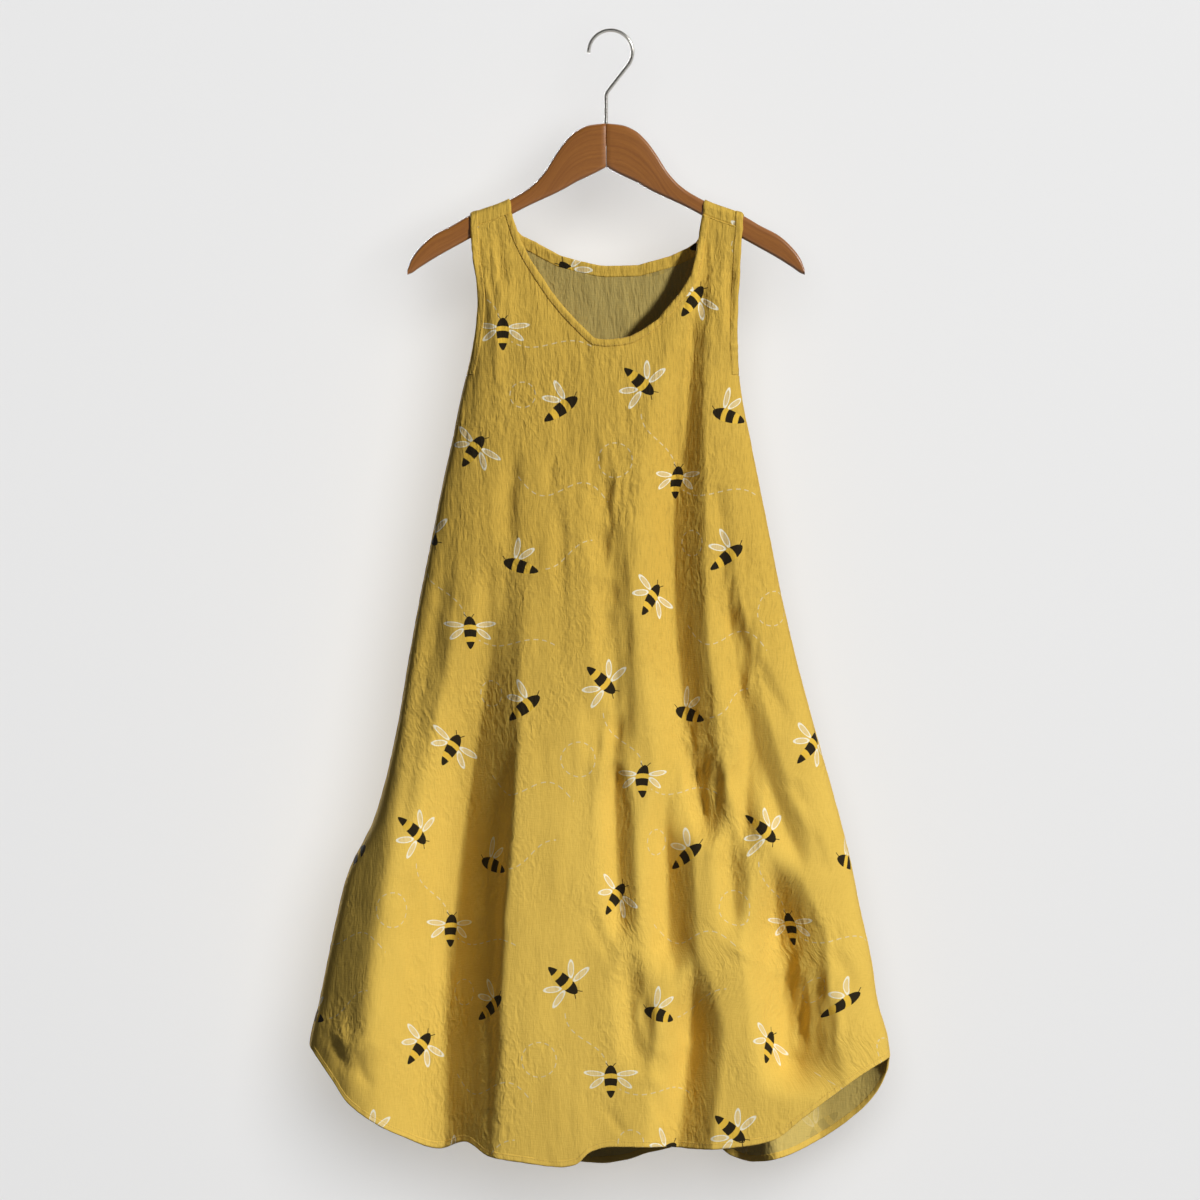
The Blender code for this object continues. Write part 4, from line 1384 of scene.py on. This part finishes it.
def new_material(name):
    made = bpy.data.materials.new(name)
    made.use_nodes = True
    return made, made.node_tree, made.node_tree.nodes["Principled BSDF"]


def set_inputs(shader, values):
    for name, value in values.items():
        shader.inputs[name].default_value = value


def in_millimetres(tree, socket, first, second):
    """Two parts of a place, as fields in millimetres."""
    parts = tree.nodes.new("ShaderNodeSeparateXYZ")
    tree.links.new(socket, parts.inputs[0])
    return Field(tree, parts.outputs[first]) / MM, Field(tree, parts.outputs[second]) / MM


def flat_place(tree, layer):
    """Distances over the material, from its layer of flat coordinates."""
    source = tree.nodes.new("ShaderNodeUVMap")
    source.uv_map = layer
    return in_millimetres(tree, source.outputs["UV"], 0, 1)


def object_place(tree):
    """Distances across and up in the piece's own frame."""
    source = tree.nodes.new("ShaderNodeTexCoord")
    return in_millimetres(tree, source.outputs["Object"], 0, 2)


def noise(x, y, across, up, detail=2.0, rough=0.5, offset=0.0):
    """Noise from 0 to 1 with cells of this size in millimetres."""
    tree = x.tree
    spot = tree.nodes.new("ShaderNodeCombineXYZ")
    tree.links.new((x / across).socket, spot.inputs[0])
    tree.links.new((y / up).socket, spot.inputs[1])
    spot.inputs[2].default_value = offset
    node = tree.nodes.new("ShaderNodeTexNoise")
    set_inputs(node, {"Scale": 1.0, "Detail": detail, "Roughness": rough})
    tree.links.new(spot.outputs[0], node.inputs["Vector"])
    return Field(tree, node.outputs[0])


def painted(tree, under, over, share):
    """The colour over another, by a share. Colours are sockets or triples."""
    node = tree.nodes.new("ShaderNodeMix")
    node.data_type = "RGBA"
    tree.links.new(share.socket, node.inputs["Factor"])
    for slot, colour in ((node.inputs[6], under), (node.inputs[7], over)):
        if isinstance(colour, tuple):
            slot.default_value = (*colour, 1.0)
        else:
            tree.links.new(colour, slot)
    return node.outputs[2]


def bumped(tree, shader, height, distance):
    """Fine relief on a surface. The height is from 0 to 1, the distance in millimetres."""
    node = tree.nodes.new("ShaderNodeBump")
    set_inputs(node, {"Strength": 1.0, "Distance": distance * MM})
    tree.links.new(height.socket, node.inputs["Height"])
    tree.links.new(node.outputs[0], shader.inputs["Normal"])


def cloth_material(name, colour, deep, printed, through=1.0, moved=(0.0, 0.0)):
    """Crinkled cotton, with painted shade of its dense crinkles darkening the chest. Through is how much of
    its print shows, moved how far the print is shifted.
    """
    made, tree, shader = new_material(name)
    u, v = flat_place(tree, "cloth")
    wander = noise(u, v, *CLOTH_WANDER)
    cell = {}
    for kind, (drift, *size) in CLOTH_NOISE.items():
        cell[kind] = noise(u + wander * drift if drift else u, v, *size)
    slubs = cell["slubs_up"] * 0.5 + cell["slubs_across"] * 0.5
    patches = ((cell["patches"] - 0.5) * PATCH_CONTRAST + PATCH_LEVEL).held()
    crumpled = (cell["crumples"] - 0.5).size() * CRUMPLE_CONTRAST
    fineness = ((v + CRINKLE_FOOT) / CRINKLE_FADE).held() * FINENESS_GAIN + FINENESS_LEAST
    shade = (slubs - 0.5) * SLUB_SHADE + (cell["shade"] - 0.5) * WIDE_SHADE
    # Painted shade: the colour deepens towards the chest, where the dense crinkles throw shade; random
    # mottle deepens it too
    upper = ((v + CRINKLE_SHADE_FOOT) / CRINKLE_SHADE_FADE).held()
    tone_and_crinkle_shade = shade * MOTTLE_DEEPENING + upper * CRINKLE_SHADE_DEEPENING + LEAST_DEEPENING
    paint = painted(tree, colour, deep, tone_and_crinkle_shade.held())
    # Painted shade: dark streaks down the chest where the fine crinkles throw shade
    streaks = ((cell["streaks"] - 0.5) * STREAK_CONTRAST).held() * (upper * STREAK_UPPER + STREAK_LEAST)
    streaks = streaks * (STREAK_THROUGH + (1 - STREAK_THROUGH) * through)
    paint = painted(tree, paint, CRINKLE_STREAK_SHADE, streaks)
    u, v = u + moved[0], v + moved[1]
    if printed:
        black, yellow, outline, fill = bee_masks(u, v)
        wings = (fill * INK_SHARES["wing"]).apply("MAXIMUM", outline * INK_SHARES["wing_rim"])
        inks = (
            (TRAIL_PALE, trail_mask(u, v) * INK_SHARES["trail"]),
            (WING_WHITE, wings),
            (BEE_YELLOW, yellow * INK_SHARES["yellow"]),
            (BEE_BLACK, black * INK_SHARES["black"]),
        )
        for ink, share in inks:
            paint = painted(tree, paint, ink, share * through)
    tree.links.new(paint, shader.inputs["Base Color"])
    set_inputs(shader, CLOTH_FINISH)
    threads = noise(u + wander * THREAD_DRIFT, v, *CLOTH_THREADS)
    relief = cell["crinkles"] * fineness * CLOTH_HEIGHTS["crinkles"]
    relief = relief + threads * fineness * CLOTH_HEIGHTS["threads"]
    relief = relief + cell["puckers"] * CLOTH_HEIGHTS["puckers"]
    relief = relief - crumpled * patches * CLOTH_HEIGHTS["crumples"]
    relief = relief + slubs * CLOTH_HEIGHTS["slubs"]
    bumped(tree, shader, relief, CLOTH_RELIEF)
    return made


def wood_material(name):
    """Reddish beech with a fine straight grain and a satin varnish."""
    made, tree, shader = new_material(name)
    along, around = flat_place(tree, "grain")
    wander = noise(along, around, *WOOD_WANDER)
    bands = noise(along, around + wander * WOOD_DRIFT, *WOOD_BANDS)
    pores = noise(along, around, *WOOD_PORES)
    share = (bands - 0.5) * BAND_SHADE + (pores - 0.5) * PORE_SHADE + WOOD_SHADE
    tree.links.new(painted(tree, WOOD_LIGHT, WOOD_DARK, share.held()), shader.inputs["Base Color"])
    tree.links.new((pores * PORE_ROUGHNESS + WOOD_ROUGHNESS).socket, shader.inputs["Roughness"])
    set_inputs(shader, WOOD_COAT)
    bumped(tree, shader, pores * PORE_HEIGHT + bands * (1 - PORE_HEIGHT), WOOD_RELIEF)
    return made


def steel_material(name):
    """Wire with faint drawing marks."""
    made, tree, shader = new_material(name)
    x, z = object_place(tree)
    marks = noise(x, z, *STEEL_MARKS)
    set_inputs(shader, {"Base Color": (*STEEL_COLOUR, 1.0), "Metallic": 1.0})
    tree.links.new((marks * MARK_ROUGHNESS + STEEL_ROUGHNESS).socket, shader.inputs["Roughness"])
    bumped(tree, shader, marks, STEEL_RELIEF)
    return made


def thread_material(name):
    """Sewing thread with a slight sheen."""
    made, tree, shader = new_material(name)
    x, z = object_place(tree)
    paint = painted(tree, THREAD_COLOUR, CLOTH_DEEP, noise(x, z, *THREAD_TWIST))
    tree.links.new(paint, shader.inputs["Base Color"])
    set_inputs(shader, THREAD_FINISH)
    return made


def wall_material(name, colour, glow, one_sided):
    """Plain paint with a glow of its own. A one-sided wall is clear from behind."""
    made, tree, shader = new_material(name)
    set_inputs(shader, {"Base Color": (*colour, 1.0), **WALL_FINISH})
    set_inputs(shader, {"Emission Color": (*WALL_GLOW, 1.0), "Emission Strength": glow})
    if one_sided:
        side = tree.nodes.new("ShaderNodeNewGeometry")
        clear = tree.nodes.new("ShaderNodeBsdfTransparent")
        mix = tree.nodes.new("ShaderNodeMixShader")
        tree.links.new(side.outputs["Backfacing"], mix.inputs[0])
        tree.links.new(shader.outputs[0], mix.inputs[1])
        tree.links.new(clear.outputs[0], mix.inputs[2])
        tree.links.new(mix.outputs[0], tree.nodes["Material Output"].inputs[0])
    return made


# Room: the wall behind, the floor, a far wall, and lamps by their direction in degrees right and up
WALL_Y = 0.13
ROOM_HALF = 11.0
FAR_WALL_Y = -9.8
FLOOR_Z = -1.62
CAMERA_AT = (-0.0117, -9.0, -0.6265)
CAMERA_LENS = 244.8
CAMERA_REACH = 50.0
AIM = (0.0, 0.0, -0.65)
LAMPS = (
    # name, right, up, distance, size, power, what it lights: dress, wall, or cloth or hanger from behind
    ("key_lamp", 44.0, 21.0, 16.0, 1.9, 2620.0, "dress"),
    ("wall_lamp", 9.0, 14.0, 7.0, 6.0, 575.0, "wall"),
    ("fill_lamp", -20.0, 12.0, 4.0, 3.0, 2.5, "dress"),
    ("back_lamp", 206.0, 24.0, 5.0, 0.9, 190.0, "cloth"),
    ("back_fill_lamp", 184.0, 10.0, 5.0, 1.2, 150.0, "hanger"),
)
FROM_BEHIND = ("cloth", "hanger")
WORLD_LIGHT = 0.055


def add_lamp(name, right, up, distance, size, power, receivers):
    """A round lamp that faces the dress and lights only its receivers."""
    data = bpy.data.lights.new(name, "AREA")
    data.shape = "DISK"
    data.size = size
    data.energy = power
    lamp = bpy.data.objects.new(name, data)
    bpy.context.scene.collection.objects.link(lamp)
    turn, rise = math.radians(right), math.radians(up)
    level = math.cos(rise)
    towards_lamp = Vector((math.sin(turn) * level, -math.cos(turn) * level, math.sin(rise)))
    lamp.location = Vector(AIM) + towards_lamp * distance
    lamp.rotation_euler = towards_lamp.to_track_quat("Z", "Y").to_euler()
    lamp.light_linking.receiver_collection = receivers
    return lamp


def plane(name, corners, finish):
    data = mesh_of(name, corners, [(0, 1, 2, 3)])
    data.materials.append(finish)
    made = bpy.data.objects.new(name, data)
    bpy.context.scene.collection.objects.link(made)
    return made


def group(name, members):
    made = bpy.data.collections.new(name)
    for member in members:
        made.objects.link(member)
    return made


def build_room(shown):
    low_left, low_right = (-ROOM_HALF, WALL_Y, FLOOR_Z), (ROOM_HALF, WALL_Y, FLOOR_Z)
    far_left, far_right = (-ROOM_HALF, FAR_WALL_Y, FLOOR_Z), (ROOM_HALF, FAR_WALL_Y, FLOOR_Z)
    tops = [(x, y, ROOM_HALF) for y in (WALL_Y, FAR_WALL_Y) for x in (ROOM_HALF, -ROOM_HALF)]
    sides = {
        # name: corners, colour, one-sided
        "wall": ([low_left, low_right, tops[0], tops[1]], WALL_COLOUR, True),
        "floor": ([far_left, far_right, low_right, low_left], FLOOR_COLOUR, False),
        "far_wall": ([far_right, far_left, tops[3], tops[2]], FLOOR_COLOUR, True),
    }
    room = {}
    for name, (corners, colour, one_sided) in sides.items():
        paint = wall_material(f"{name}_paint", colour, GLOWS[name], one_sided)
        room[name] = plane(name, corners, paint)
        room[name].visible_diffuse = False
    room["far_wall"].visible_glossy = False
    room["far_wall"].visible_shadow = False
    lit_dress = group("lit_dress", shown)
    hard = [made for made in shown if made.name.startswith(("hanger", "hook"))]
    receivers = {
        "dress": lit_dress,
        "wall": group("lit_room", [room["wall"]]),
        "cloth": group("lit_cloth", [made for made in shown if made not in hard]),
        "hanger": group("lit_hanger", hard),
    }
    for name, right, up, distance, size, power, lights in LAMPS:
        lamp = add_lamp(name, right, up, distance, size, power, receivers[lights])
        if lights in FROM_BEHIND:
            lamp.light_linking.blocker_collection = lit_dress
    world = bpy.data.worlds.new("studio")
    world.use_nodes = True
    background = world.node_tree.nodes["Background"]
    set_inputs(background, {"Color": (1.0, 1.0, 1.0, 1.0), "Strength": WORLD_LIGHT})
    scene = bpy.context.scene
    scene.world = world
    scene.view_settings.view_transform = "Standard"
    data = bpy.data.cameras.new("camera")
    data.lens = CAMERA_LENS
    data.clip_end = CAMERA_REACH
    camera = bpy.data.objects.new("camera", data)
    scene.collection.objects.link(camera)
    camera.location = CAMERA_AT
    camera.rotation_euler = (math.pi / 2, 0.0, 0.0)
    scene.camera = camera


def build_dress():
    """Every piece of the dress and its hanger, and which seams belong to which cloth."""
    outside = cloth_material("printed_cotton", CLOTH_COLOUR, CLOTH_DEEP, True)
    inside = cloth_material("cotton_wrong_side", INSIDE_COLOUR, INSIDE_DEEP, True, WRONG_SIDE_PRINT)
    plain = cloth_material("cotton_binding", CLOTH_COLOUR, CLOTH_DEEP, False)
    facing_cloth = cloth_material("cotton_facing", CLOTH_COLOUR, CLOTH_DEEP, True, 1.0, FACING_PRINT_MOVE)
    thread = thread_material("thread")
    wood = wood_material("varnished_beech")
    steel = steel_material("drawn_steel")
    arcs = {face: arc_table(face) for face in FACES}
    seams = {face: [] for face in FACES}
    rows = {face: [] for face in FACES}
    cloths = {face: panel(face, arcs[face], [outside, inside]) for face in FACES}

    def add_edge(name, face, kind, strip, cloth, seed_shift=0, node=None):
        """A folded edge with its row of stitches."""
        fold, step, rise, seed = EDGES[kind]
        lines, facings = strip
        edge = folded_edge(name, lines, facings, fold, seed + seed_shift, face, arcs[face], cloth, node)
        seams[face].append(edge)
        rows[face].append(sewn_row(lines, facings, fold, step, rise))

    add_edge("front_hem", "front", "hem", hem_lines("front"), outside)
    add_edge("back_hem", "back", "hem", hem_lines("back"), plain)
    roll = neck_strip_lines("front", NECK_ROLL, 0.0)
    add_edge("neck_roll_front", "front", "neck", roll, plain, node="neck_binding_front")
    facing = neck_strip_lines("back", FACING_FOLD, float(hanger_bottom(FACING_END)) + FACING_GAP)
    add_edge("neck_facing", "back", "facing", facing, facing_cloth, node="neck_facing_back")

    for side, word in SIDES:
        roll = armhole_lines(side)
        add_edge(f"armhole_roll_{word}", "front", "armhole", roll, plain, side, f"armhole_binding_{word}")
        for name, path in (("side_seam", side_seam(side)), ("shoulder_seam", shoulder_seam(side))):
            data = tube(f"{name}_{word}", path, SEAM_RADIUS, seed=SEAM_SEED + side)
            lay_out(data, "front", arcs["front"])
            seams["back"].append(add_piece(f"{name}_{word}", data, [plain]))

    for face in FACES:
        seams[face].append(stitches(f"{face}_stitches", rows[face], thread))
    held = [hanger_half(side, wood) for side, _ in SIDES]
    data = tube("hook_wire", hook_path(), WIRE_RADIUS, HOOK_SIDES)
    held.append(add_piece("hook_wire", data, [steel], "hook"))
    return cloths, seams, held


cloths, seams, held = build_dress()
shown = [*cloths.values(), *seams["front"], *seams["back"], *held]
build_room(shown)
bpy.context.view_layer.update()
